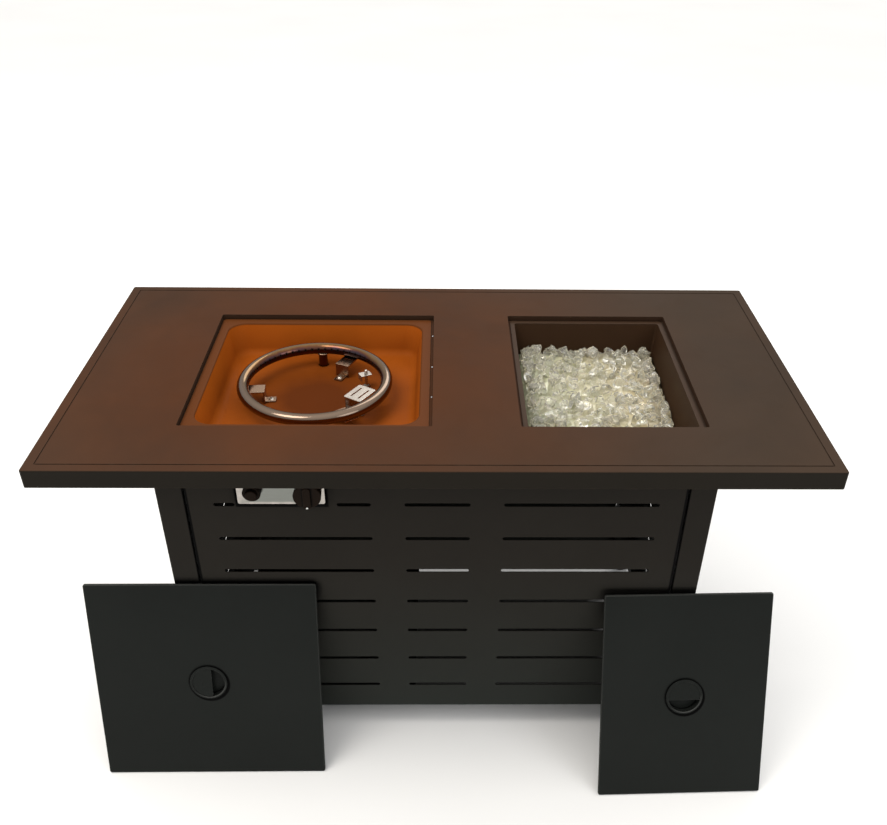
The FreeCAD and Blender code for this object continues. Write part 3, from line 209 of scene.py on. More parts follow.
def buildSettledDustAndTopLight():
    group, given, out = newGroup(
        "settledDustAndTopLight",
        {"colour": (0.02, 0.02, 0.02), "dust": (0.2, 0.18, 0.15), "amount": 0.2, "roughness": 0.4},
        "colour roughness")
    # up-facing faces get a lighter colour: partly a real deposit, mostly painted light from above
    up = remap(group, axes(group, faceNormal(group))["Z"], 0.55, 0.98)
    patches = remap(group, noiseField(group, objectSpace(group), 3.2, 6.0, 0.6, 0.4), 0.3, 0.72, 0.55, 1.0)
    share = times(group, up, patches, given["amount"])
    feed(group, out["colour"], mixColour(group, share, given["colour"], given["dust"]))
    feed(group, out["roughness"], calc(group, "MULTIPLY_ADD", share, 0.35, given["roughness"]))
    return group


def buildBrushedLines():
    group, given, out = newGroup(
        "brushedLines",
        {"vector": (0.0, 0.0, 0.0), "colour": (0.6, 0.6, 0.6), "roughness": 0.25, "spread": 0.15},
        "colour roughness height")
    lines = noiseField(group, given["vector"], 1.0, 5.0, 0.7)
    broad = noiseField(group, given["vector"], 0.12, 3.0, 0.5)
    share = remap(group, lines, 0.3, 0.7, 0.22, 0.0)
    feed(group, out["colour"], mixColour(group, share, given["colour"], (0.12, 0.11, 0.1)))
    swing = calc(group, "SUBTRACT", calc(group, "ADD", lines, broad), 1.0)
    feed(group, out["roughness"], calc(group, "MULTIPLY_ADD", swing, given["spread"], given["roughness"]))
    feed(group, out["height"], lines)
    return group


def buildHeatTint():
    group, given, out = newGroup("heatTint", {"colour": (0.6, 0.6, 0.6), "heat": 0.0}, "colour")
    patches = remap(group, noiseField(group, objectSpace(group), 22.0, 4.0, 0.6), 0.25, 0.75, 0.45, 1.15)
    tint = ramp(group, times(group, patches, given["heat"]), [
        (0.0, (1.0, 1.0, 1.0)), (0.35, (0.95, 0.80, 0.50)), (0.55, (0.72, 0.42, 0.26)),
        (0.72, (0.45, 0.30, 0.42)), (0.88, (0.30, 0.36, 0.58)), (1.0, (0.55, 0.58, 0.62))])
    feed(group, out["colour"], mixColour(group, 1.0, given["colour"], tint, "MULTIPLY"))
    return group


def buildSmudges():
    group, given, out = newGroup("smudges", {"roughness": 0.3, "amount": 0.1, "scale": 30.0}, "roughness")
    blots = remap(group, noiseField(group, objectSpace(group), given["scale"], 5.0, 0.65, 0.8), 0.5, 0.7)
    feed(group, out["roughness"], calc(group, "MULTIPLY_ADD", blots, given["amount"], given["roughness"]))
    return group


def buildCreaseShade():
    # painted shade where two surfaces meet, such as round a rim or along a seam
    group, given, out = newGroup(
        "creaseShade",
        {"colour": (0.02, 0.02, 0.02), "grime": (0.001, 0.001, 0.001), "reach": 0.004, "amount": 0.9,
         "full": 0.45},
        "colour")
    nearby = addNode(group, "ShaderNodeAmbientOcclusion", samples=8)
    feed(group, nearby.inputs["Distance"], given["reach"])
    crease = times(group, remap(group, nearby.outputs["AO"], given["full"], 0.97, 1.0, 0.0), given["amount"])
    feed(group, out["colour"], mixColour(group, crease, given["colour"], given["grime"]))
    return group


def buildRoundedEdge():
    group, given, out = newGroup("roundedEdge", {"width": 0.0008}, "normal")
    bevel = addNode(group, "ShaderNodeBevel", samples=4)
    feed(group, bevel.inputs["Radius"], given["width"])
    feed(group, out["normal"], bevel.outputs[0])
    return group


def buildLumpTint():
    group, given, out = newGroup(
        "lumpTint", {"colour": (0.9, 0.95, 0.92), "deep": (0.7, 0.85, 0.78)}, "colour roughness height")
    place = objectSpace(group)
    slow = remap(group, noiseField(group, place, 28.0, 2.0), 0.35, 0.65)
    feed(group, out["colour"], mixColour(group, slow, given["colour"], given["deep"]))
    frost = remap(group, noiseField(group, place, 120.0, 3.0, 0.6), 0.52, 0.70, 0.01, 0.12)
    feed(group, out["roughness"], frost)
    ripple = noiseField(group, place, 340.0, 3.0, 0.6, 0.6)
    chips = cellField(group, place, 420.0)
    feed(group, out["height"], calc(group, "MULTIPLY_ADD", chips, 0.35, ripple))
    return group


effects = {
    "grain": buildPowderGrain(), "wearAndHighlight": buildEdgeWearAndHighlight(), "dust": buildSettledDustAndTopLight(),
    "brush": buildBrushedLines(), "heat": buildHeatTint(), "smudge": buildSmudges(),
    "rounded": buildRoundedEdge(), "lump": buildLumpTint(), "crease": buildCreaseShade(),
}
print("shared effects built:", ", ".join(effects))


def useEffect(tree, name, **given):
    node = addNode(tree, "ShaderNodeGroup", node_tree=effects[name])
    for label, value in given.items():
        feed(tree, node.inputs[label], value)
    return node.outputs


# What the finishes share

def newFinish(name):
    material = bpy.data.materials.new(name)
    material.use_nodes = True
    tree = material.node_tree
    return material, tree, tree.nodes["Principled BSDF"]


def grained(tree, look):
    return useEffect(tree, "grain", colour=look["colour"], cloud=look["cloud"], roughness=look["roughness"],
                     spread=look["spread"], grainScale=look["grainScale"])


def edgeWearHighlightAndShade(tree, colour, look, paintedHighlight=None):
    # scuffs and painted highlight on the edges, then a painted highlight if there is one, then painted shade
    # in the creases
    colour = useEffect(tree, "wearAndHighlight", colour=colour, worn=look["worn"], amount=look["wearAmount"],
                       width=look["wearWidth"], even=look["wearEven"])["colour"]
    if paintedHighlight:
        colour = mixColour(tree, paintedHighlight[0], colour, paintedHighlight[1])
    return useEffect(tree, "crease", colour=colour, grime=look["grime"], reach=look["creaseReach"],
                     amount=look["creaseAmount"], full=look["creaseFull"])["colour"]


def smudged(tree, roughness, look):
    return useEffect(tree, "smudge", roughness=roughness, amount=look["smudge"],
                     scale=look["smudgeScale"])["roughness"]


def bumped(tree, shader, height, look):
    bump = addNode(tree, "ShaderNodeBump")
    bump.inputs["Strength"].default_value = look["bump"]
    bump.inputs["Distance"].default_value = look["bumpDepth"]
    feed(tree, bump.inputs["Height"], height)
    feed(tree, bump.inputs["Normal"], useEffect(tree, "rounded", width=look["round"])["normal"])
    feed(tree, shader.inputs["Normal"], bump.outputs[0])


def shaded(tree, shader, look, colour, roughness, height):
    feed(tree, shader.inputs["Base Color"], colour)
    feed(tree, shader.inputs["Roughness"], roughness)
    shader.inputs["Metallic"].default_value = look["metallic"]
    shader.inputs["Specular IOR Level"].default_value = look["specular"]
    bumped(tree, shader, height, look)


# Places on the object where a finish changes

def middleOf(node):
    # middle and half size of a part's box
    low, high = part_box(node)
    return (low + high) / 2, (high - low) / 2


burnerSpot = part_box("ring_burner")
tubeThickness = 0.019  # of the ring burner
ringCentre, ringHalf = middleOf("ring_burner")
ringReach = ringHalf.x
ringTubeLow = burnerSpot[1].z - tubeThickness  # underside of the tube, above the riser


def ringPlace(tree):
    # distance from the upright axis of the ring burner, turn round it, and height
    split = axes(tree, objectSpace(tree))
    across = calc(tree, "SUBTRACT", split["X"], ringCentre.x)
    along = calc(tree, "SUBTRACT", split["Y"], ringCentre.y)
    squared = calc(tree, "MULTIPLY_ADD", across, across, times(tree, along, along))
    return calc(tree, "SQRT", squared), calc(tree, "ARCTAN2", along, across), split["Z"]


recessBand = {"innerShare": 0.97, "outerShare": 0.98, "upright": 0.3, "sloping": 0.6, "bottom": 0.016,
              "top": 0.013}


def recessShare(tree):
    # 1 on the upright walls of the two openings, 0 on the outer skirt of the top
    middle, half = middleOf("table_top")
    split = axes(tree, objectSpace(tree))
    outward = calc(tree, "MAXIMUM", calc(tree, "DIVIDE", awayFrom(tree, split["X"], middle.x), half.x),
                   calc(tree, "DIVIDE", awayFrom(tree, split["Y"], middle.y), half.y))
    inside = remap(tree, outward, recessBand["innerShare"], recessBand["outerShare"], 1.0, 0.0)
    slope = calc(tree, "ABSOLUTE", axes(tree, faceNormal(tree))["Z"])
    upright = remap(tree, slope, recessBand["upright"], recessBand["sloping"], 1.0, 0.0)
    topLevel = middle.z + half.z
    nearTop = remap(tree, split["Z"], topLevel - recessBand["bottom"], topLevel - recessBand["top"])
    return times(tree, inside, upright, nearTop)


seamBand = {"width": 0.0032, "soft": 0.0004}


def seamShadeShare(tree, node):
    # painted shade along the upright edges of a long panel
    middle, half = middleOf(node)
    across = awayFrom(tree, axes(tree, objectSpace(tree))["X"], middle.x)
    edge = half.x - seamBand["width"]
    return remap(tree, across, edge - seamBand["soft"], edge + seamBand["soft"])


gasketBand = {"beside": 0.0012, "above": 0.0042, "soft": 0.0010}


def roundShadeShare(tree, node):
    # painted shade on a panel in a narrow band round a part that is fixed to its front
    middle, half = middleOf(node)
    split = axes(tree, objectSpace(tree))
    beside = calc(tree, "SUBTRACT", awayFrom(tree, split["X"], middle.x), half.x + gasketBand["beside"])
    above = calc(tree, "SUBTRACT", awayFrom(tree, split["Z"], middle.z), half.z + gasketBand["above"])
    return remap(tree, calc(tree, "MAXIMUM", beside, above), 0.0, gasketBand["soft"], 1.0, 0.0)


pullBands = {"rim": 0.0308, "narrow": -0.0008, "wide": 0.0062, "soft": 0.0007, "towards": (0.36, -0.93),
             "leanFrom": -0.5, "leanTo": 0.95, "arcInner": 0.0273, "arcOuter": 0.0288, "arcFrom": 0.45,
             "arcTo": 0.95, "arcAmount": 0.52}


def fromPull(tree, node):
    # distance from the middle of a finger pull, and 0 to 1 for its upper left to lower right side
    away = addNode(tree, "ShaderNodeVectorMath", operation="SUBTRACT")
    feed(tree, away.inputs[0], objectSpace(tree))
    feed(tree, away.inputs[1], tuple(middleOf(node)[0]))
    length = addNode(tree, "ShaderNodeVectorMath", operation="LENGTH")
    feed(tree, length.inputs[0], away.outputs[0])
    distance = length.outputs["Value"]
    split = axes(tree, away.outputs[0])
    right, up = pullBands["towards"]
    lean = calc(tree, "MULTIPLY_ADD", split["X"], right, times(tree, split["Z"], up))
    lean = calc(tree, "DIVIDE", lean, distance)
    return distance, remap(tree, lean, pullBands["leanFrom"], pullBands["leanTo"])


def pullShadowShare(tree, node):
    # painted shadow on a lid round its finger pull, wider on the lower right side
    distance, lean = fromPull(tree, node)
    rim, narrow, wide, soft = (pullBands[key] for key in ("rim", "narrow", "wide", "soft"))
    edge = calc(tree, "MULTIPLY_ADD", lean, wide - narrow, rim + narrow)
    return remap(tree, calc(tree, "SUBTRACT", distance, edge), -soft, soft, 1.0, 0.0)


def arcHighlightShare(tree, node):
    # painted highlight on the lower rim of a finger pull
    distance, lean = fromPull(tree, node)
    inner, outer, soft = pullBands["arcInner"], pullBands["arcOuter"], pullBands["soft"]
    lower = remap(tree, lean, pullBands["arcFrom"], pullBands["arcTo"], 0.0, pullBands["arcAmount"])
    return times(tree, remap(tree, distance, inner, inner + soft),
                 remap(tree, distance, outer, outer + soft, 1.0, 0.0), lower)


endBand = {"from": 0.70, "to": 0.94, "lowerFull": 0.0015, "lowerEnd": 0.005}


def endShare(tree, node):
    # 0 over the middle of a long part, 1 at its ends and along its lower edge
    middle, half = middleOf(node)
    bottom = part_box(node)[0].z
    split = axes(tree, objectSpace(tree))
    across = calc(tree, "DIVIDE", awayFrom(tree, split["X"], middle.x), half.x)
    ends = remap(tree, across, endBand["from"], endBand["to"])
    lower = remap(tree, split["Z"], bottom + endBand["lowerFull"], bottom + endBand["lowerEnd"], 1.0, 0.0)
    uneven = remap(tree, noiseField(tree, objectSpace(tree), 90.0, 3.0), 0.3, 0.7, 0.5, 1.0)
    return times(tree, calc(tree, "MAXIMUM", ends, lower), uneven)


# Powder coats

def paintFinish(name, look):
    material, tree, shader = newFinish(name)
    grain = grained(tree, look)
    dustAndLightColour = look["dust"]
    if "browned" in look:  # painted warm light near the burner, which browns the top of the coat there
        near = remap(tree, ringPlace(tree)[0], look["brownedFrom"], look["brownedTo"], 1.0, 0.0)
        uneven = remap(tree, noiseField(tree, objectSpace(tree), 4.0, 3.0), 0.3, 0.7, 0.85, 1.0)
        dustAndLightColour = mixColour(tree, times(tree, near, uneven), dustAndLightColour, look["browned"])
    # painted top light, with some deposit, on up-facing faces
    dust = useEffect(tree, "dust", colour=grain["colour"], dust=dustAndLightColour, amount=look["dustAmount"],
                     roughness=grain["roughness"])
    coat = dust["colour"]
    if "splash" in look:  # painted light from the floor: lighter and greener towards the ground
        place = objectSpace(tree)
        ragged = calc(tree, "MULTIPLY_ADD", noiseField(tree, place, 9.0, 4.0), look["splashRagged"],
                      axes(tree, place)["Z"])
        bounceShare = remap(tree, ragged, look["splashFull"], look["splashEnd"], 1.0, 0.0)
        coat = mixColour(tree, bounceShare, coat, look["splash"])
    # painted light on the upright walls of the two openings
    if "recessWall" in look:
        coat = mixColour(tree, recessShare(tree), coat, look["recessWall"])
    # painted shade along the panel seams and round the gasket, painted shadow round the finger pulls
    for key, share in (("seamNode", seamShadeShare), ("roundNode", roundShadeShare), ("pullNode", pullShadowShare)):
        if key in look:
            coat = mixColour(tree, share(tree, look[key]), coat, look["grime"])
    coat = edgeWearHighlightAndShade(tree, coat, look)
    if "shelterReach" in look:  # painted shadow where a lid leans or the top hangs over
        coat = useEffect(tree, "crease", colour=coat, grime=look["grime"], reach=look["shelterReach"],
                         amount=look["shelterAmount"], full=look["shelterFull"])["colour"]
    shaded(tree, shader, look, coat, smudged(tree, dust["roughness"], look), grain["height"])
    return material


powderCoat = {"grainScale": 900.0, "bump": 0.35, "bumpDepth": 0.0002, "round": 0.0010, "wearEven": 0.0,
              "smudge": 0.06, "smudgeScale": 16.0, "metallic": 0.0}
topPaint = dict(
    powderCoat, colour=(0.0112, 0.0090, 0.0062), cloud=(0.0136, 0.0108, 0.0074), worn=(0.080, 0.055, 0.034),
    dust=(0.0565, 0.0358, 0.0238), dustAmount=0.92, browned=(0.0800, 0.0265, 0.0090), brownedFrom=0.22,
    brownedTo=0.64, roughness=0.52, spread=0.10, specular=0.07, wearAmount=0.55, wearWidth=0.0016,
    grime=(0.0060, 0.0034, 0.0020), creaseReach=0.003, creaseAmount=0.5, creaseFull=0.45,
    recessWall=(0.036, 0.0185, 0.0105))
sheetPaint = dict(powderCoat, roughness=0.48, spread=0.12, specular=0.04, grime=(0.0003, 0.0003, 0.0003),
                  creaseAmount=1.0)
basePaint = dict(
    sheetPaint, colour=(0.0168, 0.0145, 0.0118), cloud=(0.0202, 0.0176, 0.0144), worn=(0.055, 0.050, 0.042),
    dust=(0.050, 0.043, 0.034), dustAmount=0.30, wearAmount=0.25, wearWidth=0.0014, creaseReach=0.012,
    creaseFull=0.84, splash=(0.0222, 0.0250, 0.0220), splashRagged=0.06, splashFull=0.06, splashEnd=0.42,
    shelterReach=0.035, shelterAmount=0.85, shelterFull=0.30)
# painted highlight: the lids' top edges are made lighter through the up-facing colour and the even edge
# colour
lidPaint = dict(
    sheetPaint, colour=(0.0128, 0.0142, 0.0130), cloud=(0.0150, 0.0166, 0.0152), worn=(0.110, 0.113, 0.104),
    dust=(0.074, 0.076, 0.070), dustAmount=0.90, wearAmount=0.95, wearWidth=0.0024, wearEven=0.75,
    creaseReach=0.004, creaseFull=0.82)
paints = {
    "topPaint": topPaint,
    "basePaint": basePaint,
    "frontPaint": dict(basePaint, seamNode="front_panel", roundNode="control_gasket"),
    "backPaint": dict(basePaint, seamNode="back_panel"),
    "lidPaint": lidPaint,
    "burnerLidPaint": dict(lidPaint, pullNode="burner_lid_pull"),
    "binLidPaint": dict(lidPaint, pullNode="bin_lid_pull"),
}


def drawnCoat(name, look):
    # coat of a drawn sheet: its flange is duller, and soot darkens the burner pan below the ring
    material, tree, shader = newFinish(name)
    grain = grained(tree, look)
    reach, _, height = ringPlace(tree)
    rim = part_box(look["node"])[1].z
    onFlange = remap(tree, height, rim - look["flangeBottom"], rim - look["flangeTop"])
    coat = mixColour(tree, onFlange, grain["colour"], look["flange"])
    roughness = grain["roughness"]
    if "soot" in look:
        wobble = noiseField(tree, objectSpace(tree), 26.0, 4.0, 0.6)
        reach = calc(tree, "MULTIPLY_ADD", wobble, look["sootWander"], reach)
        soot = remap(tree, reach, look["sootFrom"], look["sootTo"], 1.0, 0.25)
        low = remap(tree, height, rim - look["sootDepth"], rim, 1.0, 0.0)
        soot = times(tree, soot, low, look["sootAmount"])
        coat = mixColour(tree, soot, coat, look["soot"])
        roughness = calc(tree, "MULTIPLY_ADD", soot, look["sootDull"], roughness)
    shaded(tree, shader, look, edgeWearHighlightAndShade(tree, coat, look), roughness, grain["height"])
    return material


drawnSheet = dict(powderCoat, spread=0.10, wearAmount=0.5, wearWidth=0.0014, creaseReach=0.006,
                  creaseAmount=0.6, creaseFull=0.45, flangeBottom=0.0035, flangeTop=0.0015)
drawnCoats = {
    "panCoat": dict(
        # painted warm light: the pan's walls and floor are given the orange of a brightly lit pan
        drawnSheet, node="burner_pan", colour=(0.300, 0.0680, 0.0055), cloud=(0.380, 0.0890, 0.0078),
        worn=(0.42, 0.18, 0.060), roughness=0.46, specular=0.025, flange=(0.092, 0.0290, 0.0085),
        grime=(0.016, 0.006, 0.002), soot=(0.058, 0.0130, 0.0022), sootAmount=0.92, sootFrom=0.060,
        sootTo=0.190, sootWander=0.03, sootDepth=0.035, sootDull=0.25),
    "binCoat": dict(
        drawnSheet, node="storage_bin", colour=(0.038, 0.0195, 0.0098), cloud=(0.050, 0.0250, 0.0125),
        worn=(0.12, 0.075, 0.045), roughness=0.50, specular=0.06, flange=(0.040, 0.0220, 0.0125),
        grime=(0.004, 0.003, 0.002)),
}


# Metals

metalSheet = {"metallic": 1.0, "specular": 0.5, "bumpDepth": 0.0001, "round": 0.0004, "creaseReach": 0.003,
              "creaseFull": 0.45}
polishedRing = dict(
    metalSheet, colour=(0.180, 0.128, 0.094), roughness=0.10, spread=0.14, bump=0.10, linesAcross=2600.0,
    linesRound=9.0, innerFrom=0.0175, innerTo=0.008, heat=0.85, smudge=0.10, smudgeScale=40.0, ports=60,
    portLift=0.262, portRadius=0.0011, markReach=0.0036, markDull=0.5, grime=(0.012, 0.009, 0.008),
    creaseAmount=0.8)


def portMarks(tree, look, reach, turn, height):
    # dark rings of soot round the ports on the inner side of the tube
    ports = look["ports"]
    tubeRadius = tubeThickness / 2
    tubeMiddle = burnerSpot[1].z - tubeRadius
    pathRadius = ringReach - tubeRadius
    share = calc(tree, "FRACT", calc(tree, "MULTIPLY_ADD", turn, ports / math.tau, ports))
    along = times(tree, calc(tree, "SUBTRACT", share, 0.5), math.tau * pathRadius / ports)
    inward = calc(tree, "SUBTRACT", pathRadius, reach)
    lift = calc(tree, "ARCTAN2", calc(tree, "SUBTRACT", height, tubeMiddle), inward)
    across = times(tree, calc(tree, "SUBTRACT", lift, look["portLift"]), tubeRadius)
    squared = calc(tree, "MULTIPLY_ADD", along, along, times(tree, across, across))
    return remap(tree, calc(tree, "SQRT", squared), look["portRadius"], look["markReach"], 1.0, 0.0)


def ringFinish(name, look):
    # polished tube: draw lines run round the ring, and the inner side is tinted by heat at the ports
    material, tree, shader = newFinish(name)
    reach, turn, height = ringPlace(tree)
    lines = addNode(tree, "ShaderNodeCombineXYZ")
    feed(tree, lines.inputs["X"], times(tree, reach, look["linesAcross"]))
    feed(tree, lines.inputs["Y"], times(tree, turn, look["linesRound"]))
    feed(tree, lines.inputs["Z"], times(tree, height, look["linesAcross"]))
    brush = useEffect(tree, "brush", vector=lines.outputs[0], colour=look["colour"],
                      roughness=look["roughness"], spread=look["spread"])
    inward = remap(tree, reach, ringReach - look["innerFrom"], ringReach - look["innerTo"], 1.0, 0.0)
    heat = useEffect(tree, "heat", colour=brush["colour"], heat=times(tree, inward, look["heat"]))
    marks = portMarks(tree, look, reach, turn, height)
    crease = useEffect(tree, "crease", colour=mixColour(tree, marks, heat["colour"], look["grime"]),
                       grime=look["grime"], reach=look["creaseReach"], amount=look["creaseAmount"],
                       full=look["creaseFull"])
    roughness = calc(tree, "MULTIPLY_ADD", marks, look["markDull"], smudged(tree, brush["roughness"], look))
    shaded(tree, shader, look, crease["colour"], roughness, brush["height"])
    return material


def brushedFinish(name, look):
    material, tree, shader = newFinish(name)
    place = stretched(tree, objectSpace(tree), look["lines"])
    brush = useEffect(tree, "brush", vector=place, colour=look["colour"], roughness=look["roughness"],
                      spread=look["spread"])
    paintedHighlight = (endShare(tree, look["paleNode"]), look["paleEnds"]) if "paleNode" in look else None
    sheet = edgeWearHighlightAndShade(tree, brush["colour"], look, paintedHighlight)
    shaded(tree, shader, look, sheet, smudged(tree, brush["roughness"], look), brush["height"])
    return material


steelLook = dict(
    metalSheet, colour=(0.56, 0.50, 0.44), lines=(60.0, 900.0, 900.0), roughness=0.22, spread=0.12,
    smudge=0.12, smudgeScale=35.0, worn=(0.78, 0.75, 0.70), wearAmount=0.35, wearWidth=0.0008, wearEven=0.0,
    bump=0.08, grime=(0.010, 0.008, 0.006), creaseAmount=0.6)
brushedMetals = {
    "brushedSteel": steelLook,
    # painted highlight: the plate is paler at its ends and along its lower edge
    "polishedPlate": dict(
        steelLook, colour=(0.190, 0.200, 0.184), lines=(40.0, 900.0, 500.0), roughness=0.16, spread=0.10,
        worn=(0.62, 0.61, 0.57), wearAmount=0.9, creaseAmount=1.0, paleEnds=(0.46, 0.42, 0.39),
        paleNode="control_plate"),
    "strapSteel": dict(steelLook, colour=(0.36, 0.235, 0.155), worn=(0.62, 0.50, 0.38)),
    "zincPlate": dict(steelLook, colour=(0.44, 0.45, 0.47), lines=(240.0, 240.0, 240.0), roughness=0.40,
                      spread=0.22),
    "turnedBrass": dict(steelLook, colour=(0.70, 0.50, 0.20), lines=(1500.0, 1500.0, 90.0), roughness=0.26),
    "castAluminium": dict(steelLook, colour=(0.55, 0.55, 0.56), lines=(420.0, 420.0, 420.0), roughness=0.45,
                          bump=0.25),
}


# Plastic, rubber and ceramic

def mouldedFinish(name, look):
    material, tree, shader = newFinish(name)
    grain = grained(tree, look)
    paintedHighlight = (arcHighlightShare(tree, look["arcNode"]), look["worn"]) if "arcNode" in look else None
    colour = edgeWearHighlightAndShade(tree, grain["colour"], look, paintedHighlight)
    shaded(tree, shader, look, colour, smudged(tree, grain["roughness"], look), grain["height"])
    return material


plasticLook = {
    "colour": (0.0094, 0.0050, 0.0026), "cloud": (0.0116, 0.0064, 0.0036), "worn": (0.030, 0.026, 0.022),
    "roughness": 0.38, "spread": 0.10, "grainScale": 2600.0, "metallic": 0.0, "specular": 0.045, "bump": 0.25,
    "bumpDepth": 0.0001, "round": 0.0004, "grime": (0.0003, 0.0003, 0.0003), "creaseReach": 0.004,
    "creaseAmount": 1.0, "creaseFull": 0.5, "wearAmount": 0.4, "wearWidth": 0.0008, "wearEven": 0.0,
    "smudge": 0.12, "smudgeScale": 60.0,
}
# painted highlight on the pulls' rims through the even share of the edge colour
pullLook = dict(
    plasticLook, colour=(0.0112, 0.0126, 0.0114), cloud=(0.0130, 0.0146, 0.0132), worn=(0.110, 0.110, 0.104),
    roughness=0.26, specular=0.05, creaseReach=0.0022, creaseFull=0.6, wearAmount=1.0, wearEven=0.30)
mouldings = {
    "blackPlastic": plasticLook,
    # near black with no sheen; on the control gasket it also stands in for the shade round the plate
    "blackRubber": dict(
        plasticLook, colour=(0.0008, 0.0007, 0.0006), cloud=(0.0014, 0.0012, 0.0011), roughness=0.85,
        worn=(0.004, 0.004, 0.003), specular=0.0),
    "burnerPullPlastic": dict(pullLook, arcNode="burner_lid_pull"),
    "binPullPlastic": dict(pullLook, arcNode="bin_lid_pull"),
    "whiteMark": dict(
        plasticLook, colour=(0.80, 0.79, 0.76), cloud=(0.74, 0.73, 0.70), worn=(0.5, 0.49, 0.47),
        roughness=0.42, specular=0.4),
    "whiteCeramic": dict(
        plasticLook, colour=(0.78, 0.75, 0.69), cloud=(0.70, 0.66, 0.58), worn=(0.45, 0.40, 0.34),
        roughness=0.30, specular=0.5),
}

finishes = {}
for makeFinish, looks in ((paintFinish, paints), (drawnCoat, drawnCoats), (brushedFinish, brushedMetals),
                          (ringFinish, {"polishedRing": polishedRing}), (mouldedFinish, mouldings)):
    for finishName, finishLook in looks.items():
        finishes[finishName] = makeFinish(finishName, finishLook)
print("finishes made:", len(finishes))

dressing = {
    "topPaint": "table_top burner_ledge bin_ledge",
    "basePaint": "post_front_left post_front_right post_back_left post_back_right right_panel access_door "
                 "top_rails bottom_rails top_stiffeners cylinder_tray cylinder_ring door_knob",
    "frontPaint": "front_panel",
    "backPaint": "back_panel",
    "panCoat": "burner_pan",
    "binCoat": "storage_bin",
    "burnerLidPaint": "burner_lid",
    "binLidPaint": "bin_lid",
    "lidPaint": "burner_lid_braces bin_lid_braces",
    "polishedRing": "ring_burner",
    "brushedSteel": "igniter_hood flame_sensor",
    "strapSteel": "burner_brackets",
    "polishedPlate": "control_plate",
    "zincPlate": "heat_shield air_mixer fixed_hinge_leaves door_hinge_leaves hinge_pins strike_plate "
                 "valve_stem valve_plunger igniter_battery",
    "turnedBrass": "gas_orifice",
    "castAluminium": "control_valve supply_tube",
    "blackPlastic": "control_knob igniter_housing igniter_nut igniter_button glide_feet magnet_catch",
    "burnerPullPlastic": "burner_lid_pull",
    "binPullPlastic": "bin_lid_pull",
    "blackRubber": "control_gasket burner_lid_pads bin_lid_pads",
    "whiteMark": "knob_pointer_dot",
    "whiteCeramic": "spark_electrode",
}


def dressParts():
    for finish, names in dressing.items():
        for name in names.split():
            slots = parts[name].data.materials
            if len(slots) == 0:
                slots.append(finishes[finish])
            for index in range(len(slots)):
                slots[index] = finishes[finish]


dressParts()
print("parts dressed")


# Mesh helpers

def addPiece(name, mesh, body, finish):
    piece = bpy.data.objects.new(name, mesh)
    bpy.context.scene.collection.objects.link(piece)
    mesh.materials.append(finishes[finish])
    for polygon in mesh.polygons:
        polygon.use_smooth = True
    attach(piece, body)
    return piece


def keepSharp(piece, degrees):
    # edges that turn by more than this angle stay sharp
    shape = bmesh.new()
    shape.from_mesh(piece.data)
    sharp = [edge.index for edge in shape.edges if len(edge.link_faces) == 2
             and edge.calc_face_angle() > math.radians(degrees)]
    shape.free()
    for index in sharp:
        piece.data.edges[index].use_edge_sharp = True


def meshFrom(name, build):
    shape = bmesh.new()
    build(shape)
    mesh = bpy.data.meshes.new(name)
    shape.to_mesh(mesh)
    shape.free()
    return mesh


def anglesRound(count):
    return [math.tau * index / count for index in range(count)]


def addRings(shape, rings, close=True):
    # skin over a list of closed rings, with a face on each end
    for lower, upper in zip(rings, rings[1:]):
        count = len(lower)
        for index in range(count):
            after = (index + 1) % count
            shape.faces.new((lower[index], lower[after], upper[after], upper[index]))
    if close:
        shape.faces.new(list(reversed(rings[0])))
        shape.faces.new(rings[-1])


# Screws, thread, rivets and weld

def islands(name):
    # boxes of the separate solids of a part
    shape = bmesh.new()
    shape.from_mesh(parts[name].data)
    bmesh.ops.remove_doubles(shape, verts=shape.verts, dist=1e-6)
    shape.verts.ensure_lookup_table()
    seen, boxes = set(), []
    for start in shape.verts:
        if start.index in seen:
            continue
        seen.add(start.index)
        waiting, reached = [start], []
        while waiting:
            vertex = waiting.pop()
            reached.append(vertex.co.copy())
            for edge in vertex.link_edges:
                other = edge.other_vert(vertex)
                if other.index not in seen:
                    seen.add(other.index)
                    waiting.append(other)
        low = Vector([min(spot[axis] for spot in reached) for axis in range(3)])
        high = Vector([max(spot[axis] for spot in reached) for axis in range(3)])
        boxes.append((low, high))
    shape.free()
    return boxes


crossScrew = {"spokes": 40, "rings": 13, "rim": 0.42, "domePower": 2.4, "crossWidth": 0.17,
              "crossReach": 0.58, "crossDepth": 0.50, "sideSlope": 0.05, "endSlope": 0.10, "sharpAngle": 35}


def crossRecess(x, y):
    # 0 to 1: how deep a place in a head of radius 1 lies in the cross
    across, along = sorted((abs(x), abs(y)))
    wall = min((crossScrew["crossWidth"] - across) / crossScrew["sideSlope"],
               (crossScrew["crossReach"] - along) / crossScrew["endSlope"])
    return min(max(wall + 0.5, 0.0), 1.0)


def addScrewHead(shape, low, high, outward, spin):
    look = crossScrew
    spans = sorted(high - low)
    height, radius = spans[0], spans[2] / 2
    outward = Vector(outward)
    seat = (low + high) / 2 - outward * height / 2
    turn = Vector((0, 0, 1)).rotation_difference(outward).to_matrix()

    def corner(share, angle, level):
        x, y = share * math.cos(angle), share * math.sin(angle)
        return shape.verts.new(seat + turn @ Vector((x * radius, y * radius, level)))

    angles = anglesRound(look["spokes"])
    rings = [[corner(1.0, angle, 0.0) for angle in angles]]
    for ring in range(look["rings"], 0, -1):
        share = ring / look["rings"]
        dome = height * (1 - (1 - look["rim"]) * share ** look["domePower"])
        line = []
        for angle in angles:
            x, y = share * math.cos(angle - spin), share * math.sin(angle - spin)
            line.append(corner(share, angle, dome - crossRecess(x, y) * look["crossDepth"] * height))
        rings.append(line)
    addRings(shape, rings)


